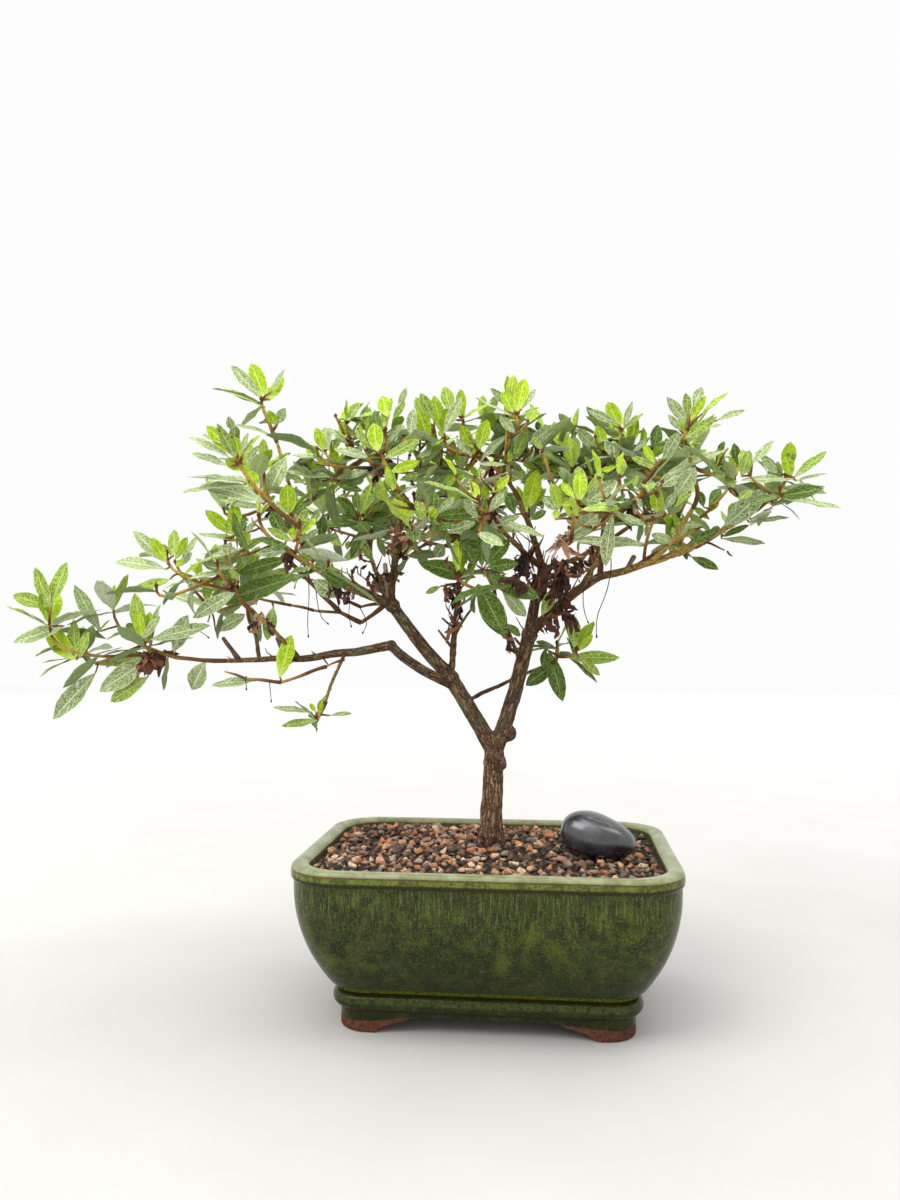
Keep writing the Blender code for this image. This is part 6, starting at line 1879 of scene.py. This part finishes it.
leafColours = {  # dark, light, pale hair specks with painted sheen and the underside, rib, how young, gloss
    "brightLeaves": ((0.09, 0.22, 0.0), (0.48, 0.66, 0.002), (0.76, 0.84, 0.34), (0.68, 0.79, 0.22), 1.0, 0.4),
    "freshLeaves": ((0.026, 0.085, 0.0), (0.335, 0.495, 0.006), (0.8, 0.87, 0.6), (0.62, 0.72, 0.28), 0.3, 0.42),
    "silverLeaves": ((0.05, 0.11, 0.004), (0.4, 0.51, 0.16), (0.92, 0.95, 0.88), (0.78, 0.85, 0.56), 0.0, 0.44),
    "shadeLeaves": ((0.005, 0.024, 0.0), (0.108, 0.205, 0.002), (0.44, 0.55, 0.3), (0.34, 0.46, 0.12), 0.0, 0.38),
}


def petalRecipe():
    crease = grainy(inMillimetres(potMiddle), 0.8, 4.0, 0.7)
    colour = ramp(attribute("leafTone") * 0.85 + crease * 0.2,
                  (0.0, (0.01, 0.004, 0.003)), (0.32, (0.06, 0.02, 0.01)), (0.58, (0.2, 0.075, 0.036)),
                  (0.8, (0.38, 0.19, 0.11)), (0.95, (0.64, 0.4, 0.29)))
    return {"Base Color": colour, "Roughness": 0.75 + crease * 0.2, "Normal": bumped(crease, 0.5 * mm, 0.9)}


def twigRecipe():
    # red brown by the rosette, golden green on the young shoot, brown where it is old
    fine = grainy(inMillimetres(potMiddle), 1.1, 3.0, 0.6)
    colour = ramp(attribute("twigAge") + (fine - 0.5) * 0.25,
                  (0.0, (0.016, 0.01, 0.008)), (0.09, (0.085, 0.04, 0.022)), (0.25, (0.14, 0.062, 0.02)),
                  (0.42, (0.33, 0.185, 0.042)), (0.7, (0.47, 0.3, 0.065)), (0.84, (0.23, 0.08, 0.02)),
                  (1.0, (0.1, 0.028, 0.01)))
    colour = blend(rise(fine, 0.47, 0.34) * 0.55, colour, (0.04, 0.016, 0.006))
    return {"Base Color": colour, "Roughness": 0.62 + fine * 0.2, "Normal": bumped(fine, 0.25 * mm, 0.8),
            "Specular IOR Level": 0.15}


twigLook = {"step": 3.5, "steps": (4, 12), "ripple": (0.14, 2.1), "sides": 6, "age": (0.09, 0.08, 0.78, 1.4),
            "bead": ((0.5, 2.2), (1.2, 2.4), (1.7, 1.2)),  # how far on, and how thick as a share
            "bud": ((1.6, 1.35, 0.95), (3.0, 1.15, 1.0), (4.2, 0.5, 1.0)), "budSunk": 2.2}  # the same, and its age


def makeTwigs():
    heap = Heap()
    fewest, most = twigLook["steps"]
    ripple, turn = twigLook["ripple"]
    oldest, youngest, gain, curve = twigLook["age"]
    sides = twigLook["sides"]
    for number, (controls, axis, thick, young) in enumerate(twigLines):
        length = (controls[-1] - controls[0]).length
        count = max(fewest, min(most, int(length / twigLook["step"])))
        shares = [k / count for k in range(count + 1)]
        points = [wobbled(pointOn(controls, share), share, number * 0.37) for share in shares]
        radii = [thick[0] + (thick[1] - thick[0]) * share for share in shares]
        radii = [size * (1.0 + ripple * max(0.0, sin(k * turn + number))) for k, size in enumerate(radii)]
        ages = [max(0.0, oldest + young * (youngest + gain * share ** curve)) if young >= 0.0 else 0.0
                for share in shares]
        if young < 0.0:  # a thread ends in a dark bead
            for far, size in twigLook["bead"]:
                points.append(points[count] + axis * far)
                radii.append(radii[count] * size)
                ages.append(0.0)
        if young > 0.5:  # the shoot ends in a thick red base where the leaves sit
            for far, size, age in twigLook["bud"]:
                points.append(points[count] + axis * (far - twigLook["budSunk"]) * young)
                radii.append(size * (0.6 + 0.4 * young))
                ages.append(age)
            points[count + 1] = points[count] + axis * 0.5
        marks = [age for age in ages for _ in range(sides)] + [ages[0], ages[-1]]
        heap.add(*tubeAlong(points, radii, sides)[:2], marks)
    item = heap.make("leafTwigs", "twigAge")
    facesOut(item)
    smoothOver(item, 60)
    return item


twigMaterial = makeMaterial("youngTwig", twigRecipe, (0.2, 0.13, 0.05))
dress(makeTwigs(), [twigMaterial], ["middle_leaves"])
leafNodes = {"freshLeaves": [name for name in masses if name not in ("middle_leaves", "withered_flowers")]}
for pieceName, rows in leafPieces.items():
    material = makeMaterial(pieceName + "Green", leafRecipe(*leafColours[pieceName]), (0.15, 0.25, 0.05))
    dress(leafPiece(pieceName, rows), [material], leafNodes.get(pieceName, ()))
petalMaterial = makeMaterial("witheredBrown", petalRecipe, (0.12, 0.06, 0.035))
dress(leafPiece("witheredPetals", witheredPetals, 1.1), [petalMaterial], ["withered_flowers"])
print("leaves made:", {name: len(rows) for name, rows in leafPieces.items()})


# stage

room = {
    "floor": 3.0, "under": 0.0002, "near": ((0.46, 0.45, 0.43), (0.52, 0.51, 0.49)), "far": (0.9, 0.9, 0.9),
    "fade": (200.0, 2600.0), "light": 0.98, "aim": (0, 0, 0.15),
    "lamps": {  # place, size, power, colour
        "window": ((-0.9, -0.9, 1.6), 1.3, 27.0, (1.0, 0.985, 0.96)),
        "overhead": ((0.3, 0.1, 1.9), 1.6, 30.0, (1.0, 1.0, 1.0)),
    },
}


def floorRecipe():
    spot = inMillimetres(potMiddle)
    away = (axisOf(spot, "X") ** 2.0 + axisOf(spot, "Y") ** 2.0) ** 0.5
    near = blend(grainy(spot, 0.01, 2.0), *room["near"])
    return {"Base Color": blend(rise(away, *room["fade"]), near, room["far"]), "Roughness": 0.9}


def setStage():
    reach = room["floor"]
    floor = meshPiece("floor", [(-reach, -reach, 0), (reach, -reach, 0), (reach, reach, 0), (-reach, reach, 0)],
                      [(0, 1, 2, 3)])
    floor.location.z = -room["under"]
    floor.data.materials.append(makeMaterial("paleFloor", floorRecipe, (0.73, 0.73, 0.72)))
    world = bpy.data.worlds.new("softRoom")
    world.use_nodes = True
    sky = world.node_tree.nodes["Background"]
    sky.inputs["Color"].default_value = (1.0, 1.0, 1.0, 1.0)
    sky.inputs["Strength"].default_value = room["light"]
    bpy.context.scene.world = world
    for name, (spot, size, power, colour) in room["lamps"].items():
        lamp = bpy.data.lights.new(name, "AREA")
        lamp.size = size
        lamp.energy = power
        lamp.color = colour
        item = linked(name, lamp)
        item.location = spot
        item.rotation_euler = (Vector(room["aim"]) - Vector(spot)).to_track_quat("-Z", "Y").to_euler()


def setCamera():
    camera = bpy.data.cameras.new("photoView")
    camera.sensor_fit = "VERTICAL"
    camera.sensor_height = view["sensor"]
    camera.lens = view["sensor"] * view["focal"] / view["high"]
    camera.clip_start = 0.01
    item = linked("photoView", camera)
    item.location = Vector(view["from"]) + potMiddle
    item.rotation_euler = (radians(90.0 + view["tilt"]), 0.0, radians(view["turn"]))
    bpy.context.scene.camera = item


setStage()
setCamera()
bpy.context.scene.view_settings.view_transform = "Standard"
print("stage set")

print("cad", [round(1000 * side, 1) for corner in cadBox for side in corner])
